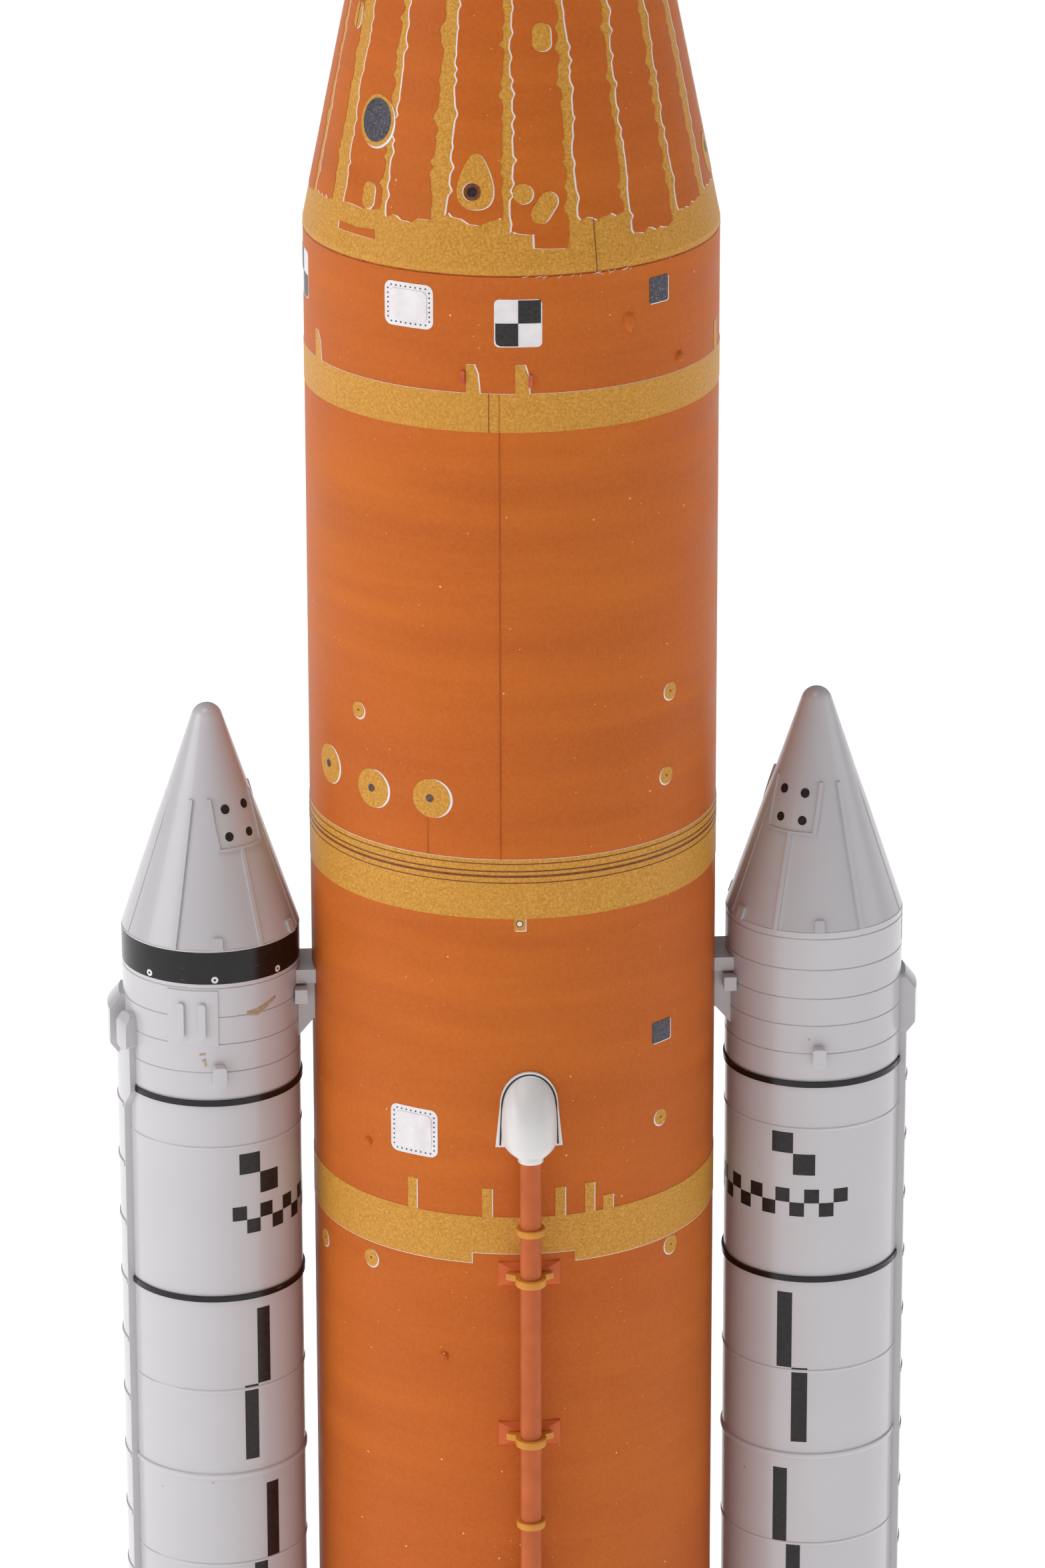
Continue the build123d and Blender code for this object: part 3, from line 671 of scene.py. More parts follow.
def rounded(piece, width):
    """Rounds the edges of a piece that meet at more than 35 degrees."""
    weld = piece.modifiers.new("weld", "WELD")
    weld.merge_threshold = 0.002 * MM
    bevel = piece.modifiers.new("edges", "BEVEL")
    bevel.width = width * MM
    bevel.segments = 2
    bevel.limit_method = "ANGLE"
    bevel.angle_limit = radians(35)
    return piece


def raised(name, loops, surface, height, material, edge, cuts=(), crown=None, arc=ARC):
    """Solid detail that stands proud of a round body, with rounded edges."""
    piece = laid_mesh(name, loops, surface, height, ROOT, material, cuts=cuts, crown=crown, arc=arc)
    if edge:
        rounded(piece, edge)
    return piece


# ---- Outlines for prints ----------------------------------------------------------------------------

def box_loop(az0, az1, z0, z1):
    """Rectangle between two azimuths and two heights."""
    return [(az0, z0), (az1, z0), (az1, z1), (az0, z1)]


def rounded_loop(surface, az0, az1, z0, z1, radius, steps=6):
    """Rectangle with corners rounded to a radius in mm."""
    middle = (z0 + z1) / 2
    reach = surface.turn(radius, middle)
    loop = []
    corners = [(az1 - reach, z1 - radius, 0), (az0 + reach, z1 - radius, 90),
               (az0 + reach, z0 + radius, 180), (az1 - reach, z0 + radius, 270)]
    for az, z, start in corners:
        for k in range(steps + 1):
            angle = radians(start + 90 * k / steps)
            loop.append((az + reach * cos(angle), z + radius * sin(angle)))
    return loop


def disc_loop(surface, az, z, radius, steps=28, tall=1.0):
    """Circle, or an ellipse where tall isn't 1."""
    reach = surface.turn(radius, z)
    angles = [2 * pi * k / steps for k in range(steps)]
    return [(az + reach * cos(angle), z + tall * radius * sin(angle)) for angle in angles]


def band_loop(low, high, teeth=(), notches=()):
    """Level band once round a body.

    A tooth or notch is (azimuth, azimuth, z), up from the top edge or in the lower edge. A tooth's fourth
    number, where there is one, is how far its right side leans in towards the top, in degrees.
    """
    loop = [(-180.0, high)]
    for start, end, z, *lean in sorted(teeth):
        crown = end - (lean[0] if lean else 0.0)
        shoulder = (crown + (end - crown) * 0.7, (2 * z + high) / 3)
        loop += [(start, high), (start, z), (crown, z), shoulder, (end, high)]
    loop += [(180.0, high), (180.0, low)]
    for start, end, z in sorted(notches, reverse=True):
        loop += [(end, low), (end, z), (start, z), (start, low)]
    return loop + [(-180.0, low)]


# ---- Core print -------------------------------------------------------------------------------------

def level(z):
    """Height in the frame of a height above the print's datum."""
    return BAND_Z + z


def make_core_skin(ink):
    """Orange wrap round the body tube."""
    skin = lathe(
        "core_skin",
        [(CORE_R, CORE_FOOT), (CORE_R, SPLIT_Z), (CORE_R - SKIN, SPLIT_Z), (CORE_R - SKIN, CORE_FOOT)],
        ink["orange"], "airframe", "printed_wrap", segments=360)
    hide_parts("core_wrap")


def gold_on_core(name, loops, ink, shift):
    """Gold over white that sits a little to the right of it and lower."""
    film(name + "_white", loops, core, 1, ink["white"], shift=shift)
    film(name, loops, core, 2, ink["gold"])


def make_core_bands(ink):
    """Gold bands, with their teeth, brown lines and tab."""
    tooth = level(6.9)
    top = band_loop(
        level(0), level(3.95),
        teeth=[(-73, -69, tooth, 2.2), (-16.7, -13, tooth, 1.5), (-3.4, 0.4, tooth, 1.2), (70.5, 74, tooth),
               (106, 109.6, tooth), (165, 168.6, tooth), (-112, -108, tooth)])
    gold_on_core("band_top", [top], ink, shift=(0.13, 0.04))
    middle = band_loop(level(-51.23), level(-44.9))
    gold_on_core("band_middle", [middle], ink, shift=(0.0, 0.05))
    low = band_loop(
        level(-89.15), level(-83.95),
        teeth=[(-35.4, -32.6, level(-80.6)), (-13.2, -10.4, level(-80.8)), (7.4, 10.2, level(-80.8)),
               (16.1, 18.9, level(-80.7)), (21.6, 24.7, level(-82.4)), (144.6, 147.4, level(-80.6)),
               (166.8, 169.6, level(-80.8)), (-172.6, -169.8, level(-80.8)), (-163.9, -161.1, level(-80.7))],
        notches=[(-16.2, 13.0, level(-88.0))])
    gold_on_core("band_low", [low], ink, shift=(0.1, -0.06))
    lines = [(-45.34, 0.1), (-46.13, 0.14), (-46.67, 0.24), (-47.36, 0.1)]
    for number, (z, width) in enumerate(lines, start=1):
        loop = band_loop(level(z) - width / 2, level(z) + width / 2)
        film(f"band_line_{number}", [loop], core, 3, ink["brown"])
    tab = rounded_loop(core, -4.1, -0.9, level(-52.5), level(-51.1), 0.12)
    gold_on_core("band_tab", [tab], ink, shift=(0.1, -0.1))
    film("band_tab_ring", [disc_loop(core, -2.5, level(-51.75), 0.36)], core, 3, ink["brown"])
    film("band_tab_dot", [disc_loop(core, -2.5, level(-51.75), 0.26)], core, 4, ink["white"])


def check_target(name, az0, az1, z0, z1, ink, mirrored=False):
    """Four squares, white and black by turns, over a white ground with rounded corners."""
    az = (az0 + az1) / 2
    z = (z0 + z1) / 2
    ground = rounded_loop(core, az0, az1, z0, z1, 0.5)
    film(name + "_ground", [ground], core, 1, ink["white"])
    rim = core.turn(0.12, z)
    upper = box_loop(az, az1 - rim, z, z1 - 0.08)
    lower = [(az0 + rim * 5, z0 + 0.1), (az, z0 + 0.1), (az, z), (az0 + rim, z), (az0 + rim, z0 + 0.7),
             (az0 + rim * 1.8, z0 + 0.3)]
    loops = [[(az0 + az1 - there, height) if mirrored else (there, height) for there, height in loop]
             for loop in (upper, lower)]
    film(name + "_squares", loops, core, 2, ink["black"])


STITCH_INSET = 0.4
STITCH_PITCH = 0.52
STITCH_R = 0.095
PAD_INSET = 0.66


def evenly(start, end, pitch):
    """Evenly spaced values from start to end, about a pitch apart."""
    count = round((end - start) / pitch)
    return [start + (end - start) * k / count for k in range(count + 1)]


def make_pad(name, az0, az1, z0, z1, ink):
    """White rounded patch with a row of stitches along its edge and a step inside it."""
    film(name, [rounded_loop(core, az0, az1, z0, z1, 0.8)], core, 2, ink["white"])
    side = core.turn(PAD_INSET, 0)
    inner = rounded_loop(core, az0 + side, az1 - side, z0 + PAD_INSET, z1 - PAD_INSET, 0.6)
    raised(name + "_inner", [inner], core, 0.12, ink["white"], edge=0.05)
    inset = core.turn(STITCH_INSET, 0)
    places = []
    for az in evenly(az0 + 2 * inset, az1 - 2 * inset, core.turn(STITCH_PITCH, 0)):
        places += [(az, z0 + STITCH_INSET), (az, z1 - STITCH_INSET)]
    for z in evenly(z0 + 2 * STITCH_INSET, z1 - 2 * STITCH_INSET, STITCH_PITCH):
        places += [(az0 + inset, z), (az1 - inset, z)]
    dots = [disc_loop(core, az, z, STITCH_R, 8) for az, z in places]
    film(name + "_stitches", dots, core, 3, ink["grey"])


def make_core_marks(ink):
    """Pads, check targets, squares, discs and dots between the bands."""
    make_pad("pad_upper", -40.7, -25.8, level(10.1), level(14.6), ink)
    make_pad("pad_lower", -41.0, -26.0, level(-78.0), level(-72.8), ink)
    make_pad("pad_rear", 139.0, 154.0, level(10.1), level(14.6), ink)
    check_target("check_front", -9.0, 3.9, level(8.75), level(13.6), ink)
    check_target("check_left", -92.6, -79.7, level(9.2), level(14.1), ink, mirrored=True)
    check_target("check_rear", 171.0, 183.9, level(8.75), level(13.6), ink)
    squares = [("square_upper", 36, 43, 11.7, 14.35), ("square_lower", 38.3, 45.6, -67.1, -64.8)]
    for name, az0, az1, z0, z1 in squares:
        loop = rounded_loop(core, az0, az1, level(z0), level(z1), 0.22, 3)
        film(name + "_white", [loop], core, 1, ink["white"], shift=(0.12, -0.1))
        film(name, [loop], core, 2, ink["grey"])
    small = [(-52, -31.2, 0.85), (45, -29.4, 0.9), (43.5, -38.3, 0.9), (41.8, -75.5, 0.85), (-49, -91, 0.95),
             (-74, -92, 0.9), (46.5, -90.3, 1.0), (128, -31.2, 0.85), (-135, -29.4, 0.9), (-136, -38.3, 0.9)]
    for number, (az, z, radius) in enumerate(small, start=1):
        side = -0.08 if az > 0 else 0.08
        ground = disc_loop(core, az, level(z), radius + 0.07)
        film(f"dot_{number}_white", [ground], core, 1, ink["white"], shift=(side, -0.06))
        film(f"dot_{number}", [disc_loop(core, az, level(z), radius)], core, 2, ink["gold"])
        film(f"dot_{number}_eye", [disc_loop(core, az, level(z), 0.13, 12)], core, 3, ink["brown"])
    large = [(-66.7, -38.5), (-46.7, -39.1), (-27.3, -38.85), (113.3, -38.5), (133.3, -39.1), (152.7, -38.85)]
    for number, (az, z) in enumerate(large, start=1):
        loop = disc_loop(core, az, level(z), 2.05, 48)
        film(f"disc_{number}_white", [loop], core, 1, ink["white"], shift=(0.26, 0.02))
        film(f"disc_{number}", [loop], core, 2, ink["gold"])
        film(f"disc_{number}_eye", [disc_loop(core, az - 0.4, level(z), 0.42, 20)], core, 3, ink["grey"])
        film(f"disc_{number}_pupil", [disc_loop(core, az + 0.2, level(z), 0.24, 16)], core, 4, ink["brown"])


def make_blister(number, az, z, half, tall, ink):
    """Low mound in the foam."""
    turn = core.turn(half, 0)
    middle = level(z)

    def mound(there, height):
        away = min(1.0, hypot((there - az) / turn, (height - middle) / tall))
        return 0.02 + 0.98 * (1 - away ** 4)

    loop = rounded_loop(core, az - turn, az + turn, middle - tall, middle + tall, half * 0.9)
    cuts = [middle + tall * k / 5 for k in range(-4, 5)]
    raised(f"foam_blister_{number}", [loop], core, 0.4, ink["orange"], edge=0.0, cuts=cuts,
           crown=mound, arc=0.4)


def make_core_bumps(ink):
    """Low mounds, red nubs beside two of the teeth, and the wrap's seam."""
    mounds = [(29.0, 10.4, 0.6, 0.95), (48.0, 5.4, 0.5, 0.6), (-49.5, -78.0, 0.5, 0.55),
              (-24.5, -100.0, 0.5, 0.5)]
    for number, (az, z, half, tall) in enumerate(mounds, start=1):
        make_blister(number, az, z, half, tall, ink)
    nubs = [rounded_loop(core, -18.0, -16.9, level(4.9), level(6.3), 0.18),
            rounded_loop(core, 0.2, 1.2, level(4.6), level(6.0), 0.18)]
    raised("band_nubs", nubs, core, 0.3, ink["nub"], edge=0.1, arc=0.5)
    film("seam_on_band", [box_loop(-10.62, -10.4, level(0), level(3.95))], core, 3, ink["brown"])
    film("seam_on_foam", [box_loop(-7.8, -7.62, level(-44.9), level(3.95))], core, 3, ink["seam"])
    streak = [(-28.6, level(-44.8)), (-28.1, level(-44.8)), (-28.2, level(-41.0)), (-28.5, level(-41.0))]
    film("streak_on_foam", [streak], core, 1, ink["seam"])


# ---- Cone print -------------------------------------------------------------------------------------

def make_cone_skin(ink):
    """Gold wrap on the cone, under the orange panels."""
    top_r = cone.radius_at(CONE_TOP)
    outer = [(CORE_R, CONE_FOOT), (CORE_R, CONE_LIP), (top_r, CONE_TOP)]
    inner = [(radius - SKIN, z) for radius, z in reversed(outer)]
    skin = lathe("cone_skin", outer + inner, ink["gold"], "nose", "printed_wrap", segments=360, sharp=5.0)
    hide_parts("cone_wrap")


def soft_edge(draw, low, high):
    """Wandering edge with small rounded bumps: (z, offset in mm) from low to high."""
    phase = [draw.uniform(0, 2 * pi) for _ in range(2)]
    bumps = []
    z = low
    while z < high:
        z += draw.uniform(0.9, 3.6)
        bumps.append((z, draw.uniform(0.08, 0.36), draw.uniform(0.25, 0.55)))
    points = []
    z = low
    while z < high - 0.2:
        offset = 0.14 * sin(z / 2.6 + phase[0]) + 0.08 * sin(z / 1.1 + phase[1])
        offset += sum(size * exp(-((z - at) / width) ** 2) for at, size, width in bumps)
        points.append((z, offset))
        z += 0.2
    points.append((high, 0.0))
    return points


def torn_edge(draw, low, high):
    """Edge with uneven round bulges that point outwards: (z, offset in mm) from low to high."""
    bulges = []
    z = low
    while z < high:
        z += draw.uniform(0.9, 2.6)
        bulges.append((z, draw.uniform(0.1, 0.55), draw.uniform(0.3, 0.7), draw.uniform(0.6, 1.0)))
    points = [(low, 0.0)]
    z = low + 0.3
    while z < high - 0.2:
        offset = 0.06 * sin(z * 1.7)
        for at, size, width, under in bulges:
            spread = width if z > at else width * under
            offset -= size * exp(-((z - at) / spread) ** 2)
        points.append((z, offset))
        z += 0.16
    points.append((high, 0.0))
    return points


def ragged_foot(draw, az0, az1, z):
    """Ragged lower end of a panel, from az0 to az1."""
    count = max(3, round((az1 - az0) / 1.6))
    return [(az0 + (az1 - az0) * k / count, z + draw.uniform(-0.2, 0.32)) for k in range(1, count)]


def panel_loop(draw, az0, az1, foot, top, foot_points):
    """Orange panel between two stripes: wandering left side, torn right side, ragged foot."""
    left = soft_edge(draw, foot + 0.4, top)
    right = torn_edge(draw, foot + 0.3, top)
    loop = [(az0 + cone.turn(offset, z), z) for z, offset in reversed(left)]
    loop += foot_points or [(az0 + 0.6, foot)] + ragged_foot(draw, az0 + 1, az1 - 1, foot)
    loop += [(az1 + cone.turn(offset, z), z) for z, offset in right]
    return loop


def make_cone_panels(ink):
    """Twenty orange panels over gold, a pitch of 18 degrees apart."""
    draw = random.Random(20)
    top = CONE_TOP - 0.02
    step = [(-3.9, 20.3), (-2.6, 20.1), (1.0, 19.95), (2.0, 20.0), (2.1, 18.65), (6.0, 18.55), (11.2, 18.5),
            (11.6, 19.2)]
    sag = [(-22.1, 21.9), (-21.0, 21.5), (-18.2, 21.35), (-16.0, 20.9), (-13.2, 20.8), (-11.0, 21.2),
           (-8.8, 21.4), (-7.4, 21.6)]
    front = [(-78.5, -66.0, 20.6, ()), (-60.0, -44.4, 21.0, ()), (-42.2, -27.5, 20.7, ()),
             (-22.3, -6.8, 21.1, sag), (-4.0, 12.0, 19.6, step), (15.0, 29.2, 21.1, ()),
             (31.3, 47.0, 19.1, ()), (49.8, 63.5, 20.2, ()), (68.0, 81.5, 20.8, ())]
    rest = [(85.5 + 18 * k, 99.0 + 18 * k, draw.uniform(19.2, 21.3), ()) for k in range(11)]
    loops = []
    for az0, az1, foot, shape in front + rest:
        loops.append(panel_loop(draw, az0, az1, level(foot), top, [(az, level(z)) for az, z in shape]))
    dash = [(-60, 18.35), (-45, 18.3), (-45.4, 19.2), (-52, 19.0), (-60.2, 19.1)]
    loops.append([(az, level(z)) for az, z in dash])
    film("cone_panels_white", loops, cone, 1, ink["white"], shift=(-0.15, -0.04))
    film("cone_panels", loops, cone, 2, ink["orange"])


def gold_on_cone(name, loops, ink, shift=(0.12, -0.06)):
    """Gold over white on top of the panels, where the two inks miss each other."""
    film(name + "_white", loops, cone, 3, ink["white"], shift=shift)
    film(name, loops, cone, 4, ink["gold"])


def bean_loop(surface, az0, z0, az1, z1, radius):
    """Two discs joined by straight sides, from one centre above the datum to a lower one."""
    steps = 14
    reach = surface.turn(radius, level(z0))
    start = degrees(atan2(z0 - z1, (az0 - az1) * radius / reach)) - 90
    loop = []
    for az, z, first in ((az0, z0, start), (az1, z1, start + 180)):
        for k in range(steps + 1):
            angle = radians(first + 180 * k / steps)
            loop.append((az + reach * cos(angle), level(z) + radius * sin(angle)))
    return loop


def teardrop_loop(surface, az, low, high, half):
    """Drop with its point up: full at the foot, narrow at the top."""
    steps = 40
    loop = []
    for k in range(steps):
        angle = 2 * pi * k / steps
        height = (1 - cos(angle)) / 2
        width = half * copysign(abs(sin(angle)) ** 0.85, sin(angle)) * (1.04 - 0.58 * height)
        loop.append((az + surface.turn(width, low), low + (high - low) * height))
    return loop


def make_cone_marks(ink):
    """Gold and grey marks printed over the orange panels, and a painted shadow line along the cone's foot."""
    rim = disc_loop(cone, -50.0, level(29.6), 2.25, 44, 1.13)
    gold_on_cone("cone_oval_rim", [rim], ink, shift=(0.2, -0.15))
    film("cone_oval", [disc_loop(cone, -50.0, level(29.65), 1.9, 40, 1.12)], cone, 5, ink["grey"])
    gold_on_cone("cone_drop", [teardrop_loop(cone, -14.8, level(22.3), level(27.7), 2.3)], ink)
    film("cone_drop_white_ring", [disc_loop(cone, -15.75, level(24.0), 0.9)], cone, 5, ink["white"])
    film("cone_drop_ring", [disc_loop(cone, -15.6, level(24.0), 0.86)], cone, 6, ink["brown"])
    film("cone_drop_eye", [disc_loop(cone, -15.6, level(24.0), 0.5)], cone, 7, ink["black"])
    gold_on_cone("cone_pad", [rounded_loop(cone, 2.8, 9.2, level(37.4), level(40.1), 0.8)], ink)
    gold_on_cone("cone_blob", [disc_loop(cone, -1.0, level(23.9), 0.98)], ink)
    gold_on_cone("cone_blob_pair", [bean_loop(cone, 6.3, 23.1, 3.9, 21.9, 0.92)], ink, shift=(0.14, 0.0))
    gold_on_cone("cone_oblong", [rounded_loop(cone, -51.4, -46.9, level(21.1), level(23.7), 0.75)], ink)
    gold_on_cone("cone_oblong_left", [rounded_loop(cone, -71.5, -67.0, level(37.5), level(40.2), 0.7)], ink)
    gold_on_cone("cone_eye", [disc_loop(cone, 78.0, level(23.7), 1.5, 36, 1.35)], ink)
    film("cone_eye_pupil", [disc_loop(cone, 78.2, level(24.2), 0.45, 20, 1.4)], cone, 5, ink["grey"])
    seam = [(19.1, level(15.95)), (19.3, level(15.95)), (19.35, level(21.0)), (19.15, level(21.2))]
    film("cone_seam", [seam], cone, 2, ink["brown"])
    # Painted shadow: a thin darker line round the foot of the cone's print, for the shade at the joint under
    # the gold ring.
    film("cone_foot_painted_shadow", [band_loop(CONE_FOOT, CONE_FOOT + 0.11)], cone, 1, ink["seam"])


def make_cone_fibres(ink):
    """Paper fibres that stand out from the foot of the cone's print, most of them at the front right."""
    draw = random.Random(31)
    foot = CONE_FOOT + 0.05
    fibres = []
    for k in range(16):
        az = draw.uniform(4, 30) if k < 12 else draw.uniform(-40, 60)
        reach = draw.choice((-1, 1)) * draw.uniform(0.3, 3.0)
        drop = draw.uniform(0.05, 0.4)
        out = draw.uniform(0.12, 0.2)
        fibres.append([cone.at(az, foot, -0.02), cone.at(az + 0.4 * reach, foot - 0.2 * drop, out),
                       cone.at(az + reach, foot - drop, out)])
    tube_along("cone_fibres", fibres, 0.02, ink["white"], body="nose")


# ---- Boosters ---------------------------------------------------------------------------------------

NOSE_FOOT = BAND_Z - 58.3
NOSE_SLOPE = 0.334
NOSE_TIP_R = 1.65
SKIRT_R = 9.22
SKIRT_FOOT = BAND_Z - 74.55
CASE_FOOT = node_low("right_booster_case").z
JOINT_PITCH = 20.35
STRAP_PITCH = 6.7
SHELL = 0.8


class Booster:
    """One booster: where it stands, which way its outer side faces, and its round surfaces.

    Angles in make_ calls are from its outer side, towards the rear on the right booster and towards the front
    on the left one, so the two are one shape turned half round.
    """

    def __init__(self, side):
        self.side = side
        right = side == "right"
        self.centre = BOOSTER_X if right else -BOOSTER_X
        self.start = 90.0 if right else -90.0
        place = {"body": "airframe", "centre": self.centre}
        self.nose = Round(lambda z: CASE_R - NOSE_SLOPE * (z - NOSE_FOOT), **place)
        self.skirt = Round(lambda z: SKIRT_R, **place)
        self.case = Round(lambda z: CASE_R, **place)

    def name(self, part):
        """Name of a node or piece of this booster."""
        return f"{self.side}_booster_{part}"

    def turned(self, loop):
        """Loop drawn from the outer side, as azimuths from the front."""
        return [(angle + self.start, z) for angle, z in loop]

    def raise_on(self, surface, part, loops, height, ink, edge, cuts=(), crown=None):
        """Raised detail in glossy white, from loops drawn from the outer side."""
        return raised(self.name(part), [self.turned(loop) for loop in loops], surface, height, ink["gloss"],
                      edge, cuts, crown)


def nose_profile():
    """Cone with a ball tip, and a thin wall."""
    rise = atan(NOSE_SLOPE)
    centre = NOSE_FOOT + CASE_R / NOSE_SLOPE - NOSE_TIP_R / sin(rise)
    outer = [(CASE_R, NOSE_FOOT)]
    for k in range(13):
        angle = rise + (radians(89) - rise) * k / 12
        outer.append((NOSE_TIP_R * cos(angle), centre + NOSE_TIP_R * sin(angle)))
    inner = [(0.03, centre), (CASE_R - 1.2, NOSE_FOOT)]
    return outer + inner


def wall_profile(radius, foot, top, grooves, ridges=(), rings=()):
    """Cylinder wall with V grooves, faint ridges and raised joint rings on its outer side."""
    outer = [(radius, foot), (radius, top)]
    for z in grooves:
        outer += [(radius, z - 0.09), (radius - 0.09, z), (radius, z + 0.09)]
    for z in ridges:
        outer += [(radius, z - 0.2), (radius + 0.09, z - 0.07), (radius + 0.09, z + 0.07), (radius, z + 0.2)]
    for z in rings:
        outer += [(radius, z), (radius + 0.16, z + 0.1), (radius + 0.2, z + 0.2), (radius + 0.2, z + 0.5),
                  (radius + 0.16, z + 0.6), (radius, z + 0.7)]
    outer.sort(key=lambda point: point[1])
    return outer + [(radius - SHELL, top), (radius - SHELL, foot)]


def make_booster_shells(booster, ink):
    """Nose, forward skirt and case, turned finely."""
    common = (ink["gloss"], "airframe", "white_plastic", booster.centre)
    nose = lathe(booster.name("nose_shell"), nose_profile(), *common, sharp=30)
    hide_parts(booster.name("nose"))
    grooves = [level(z) for z in (-59.0, -62.4, -65.6, -68.6, -71.7)]
    profile = wall_profile(SKIRT_R, SKIRT_FOOT, NOSE_FOOT, grooves)
    skirt = lathe(booster.name("skirt_shell"), profile, *common, sharp=12)
    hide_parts(booster.name("forward_skirt"))
    rings = [level(-117.95) - JOINT_PITCH * k for k in range(7)]
    ridges = [level(z) for z in (-80.2, -107.8)] + [level(-127.9) - JOINT_PITCH * k for k in range(7)]
    profile = wall_profile(CASE_R, CASE_FOOT, SKIRT_FOOT, (), ridges, rings)
    case = lathe(booster.name("case_shell"), profile, *common, sharp=12)
    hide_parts(booster.name("case"))


def slanted(angle_low, angle_high, low, high, half, surface):
    """Narrow strip from (angle_low, low) to (angle_high, high), a half width in mm to each side."""
    below = surface.turn(half, low)
    above = surface.turn(half, high)
    return [(angle_low - below, low), (angle_low + below, low),
            (angle_high + above, high), (angle_high - above, high)]


def make_booster_nose_detail(booster, ink):
    """Ribs, port panels and nubs on the cone, the same on both flanks."""
    nose = booster.nose
    ribs = []
    panels = []
    for way in (-1, 1):
        ribs.append(slanted(way * 64.3, way * 64.3, level(-58.25), level(-43.6), 0.21, nose))
        ribs.append(slanted(way * 122.3, way * 122.3, level(-58.3), level(-48.6), 0.21, nose))
        ribs.append(slanted(way * 97.9, way * 89.0, level(-48.6), level(-43.5), 0.2, nose))
        ribs.append(slanted(way * 149.5, way * 161.0, level(-48.4), level(-43.4), 0.16, nose))
        edge = [(way * 98, level(-48.62)), (way * 149, level(-48.62))]
        ribs.append(edge + [(way * 149, level(-48.42)), (way * 98, level(-48.42))])
        panels.append([(way * 99, level(-48.5)), (way * 149, level(-48.5)), (way * 160, level(-43.6)),
                       (way * 90.5, level(-43.6))])
    booster.raise_on(nose, "nose_ribs", ribs, 0.26, ink, edge=0.11)
    booster.raise_on(nose, "nose_panels", panels, 0.1, ink, edge=0.0,
                     crown=lambda az, z: max(0.1, min(1.0, (level(-43.6) - z) / 2.5)), cuts=[level(-46.1)])
    flanks = [[(-20, level(-58.2)), (20, level(-58.2)), (24, level(-44.0)), (-24, level(-44.0))],
              [(165, level(-58.2)), (195, level(-58.2)), (199, level(-44.0)), (161, level(-44.0))]]
    booster.raise_on(nose, "nose_flanks", flanks, 0.08, ink, edge=0.05,
                     crown=lambda az, z: max(0.1, min(1.0, (level(-43.9) - z) / 3.0)), cuts=[level(-47.0)])
    nubs = [rounded_loop(nose, angle - 3.2, angle + 3.2, level(-58.28), level(-57.0), 0.15)
            for angle in (-153, -92.9, 92.9, 153)]
    booster.raise_on(nose, "nose_nubs", nubs, 0.34, ink, edge=0.14)
    ports = []
    for way in (-1, 1):
        for angle, z in ((110.0, -44.6), (140.6, -44.5), (110.6, -47.3), (136.6, -47.25)):
            ports.append(booster.turned(disc_loop(nose, way * angle, level(z), 0.46, 20)))
    laid_mesh(booster.name("nose_ports"), ports, nose, 0.12, FILM, ink["black"])


def make_booster_skirt_detail(booster, ink):
    """Black half band, panel with two ribs, and a lug on each flank."""
    skirt = booster.skirt
    band = booster.turned(box_loop(-14.0, 182.0, level(-61.95), level(-58.45)))
    film(booster.name("half_band"), [band], skirt, 1, ink["gloss_black"])
    for number, angle in enumerate((45, 90.5, 136), start=1):
        disc = booster.turned(disc_loop(skirt, angle, level(-61.45), 0.36, 24))
        film(booster.name(f"band_ring_{number}"), [disc], skirt, 2, ink["white"])
        disc = booster.turned(disc_loop(skirt, angle, level(-61.45), 0.13, 12))
        film(booster.name(f"band_ring_{number}_eye"), [disc], skirt, 3, ink["black"])
    panel = box_loop(58.9, 92.4, level(-68.7), level(-62.65))
    booster.raise_on(skirt, "skirt_panel", [panel], 0.13, ink, edge=0.06)
    bars = [rounded_loop(skirt, angle - 2.2, angle + 2.2, level(-67.8), level(-64.0), 0.3)
            for angle in (68.6, 82.2)]
    booster.raise_on(skirt, "skirt_bars", bars, 0.5, ink, edge=0.17)
    half = skirt.turn(0.64, 0)
    lugs = [rounded_loop(skirt, angle - half, angle + half, level(-73.05), level(-70.85), 0.3)
            for angle in (-92.5, 92.5)]
    booster.raise_on(skirt, "skirt_lugs", lugs, 1.1, ink, edge=0.22)


def make_booster_tunnel(booster, ink):
    """Cable tunnel with two rounded boxes and a neck at its head, and straps along it."""
    case = booster.case
    foot = CASE_FOOT + 0.3
    duct = [(-16, foot), (19, foot), (19, level(-77.7)), (20.3, level(-77.2)), (26.7, level(-75.9)),
            (28, level(-75.4)), (28, level(-68.0)), (-16, level(-68.0))]
    piece = booster.raise_on(case, "tunnel_duct", [duct], 0.8, ink, edge=0.18)
    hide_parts(booster.name("tunnel"))

    def outer_crown(az, z):
        upper = min(1.0, 0.3 + 0.7 * (level(-65.6) - z) / 1.5)
        lower = min(1.0, 0.45 + 0.55 * (z - level(-72.2)) / 1.3)
        return min(upper, lower)

    outer = rounded_loop(case, -17, 11, level(-72.2), level(-65.6), 0.5)
    booster.raise_on(case, "tunnel_box_outer", [outer], 1.72, ink, edge=0.5, crown=outer_crown,
                     cuts=[level(z) for z in (-71.5, -70.9, -67.1, -66.6, -66.1)])

    def inner_crown(az, z):
        return min(1.0, 0.5 + 0.5 * (level(-66.8) - z) / 1.1)

    inner = rounded_loop(case, 17.5, 30, level(-70.6), level(-66.8), 0.5)
    booster.raise_on(case, "tunnel_box_inner", [inner], 1.36, ink, edge=0.36, crown=inner_crown,
                     cuts=[level(z) for z in (-67.4, -67.9)])
    straps = []
    z = level(-77.4)
    while z > foot + 2:
        straps.append(box_loop(-15.4, 18.4, z - 0.25, z + 0.25))
        z -= STRAP_PITCH
    booster.raise_on(case, "tunnel_straps", straps, 0.92, ink, edge=0.05)


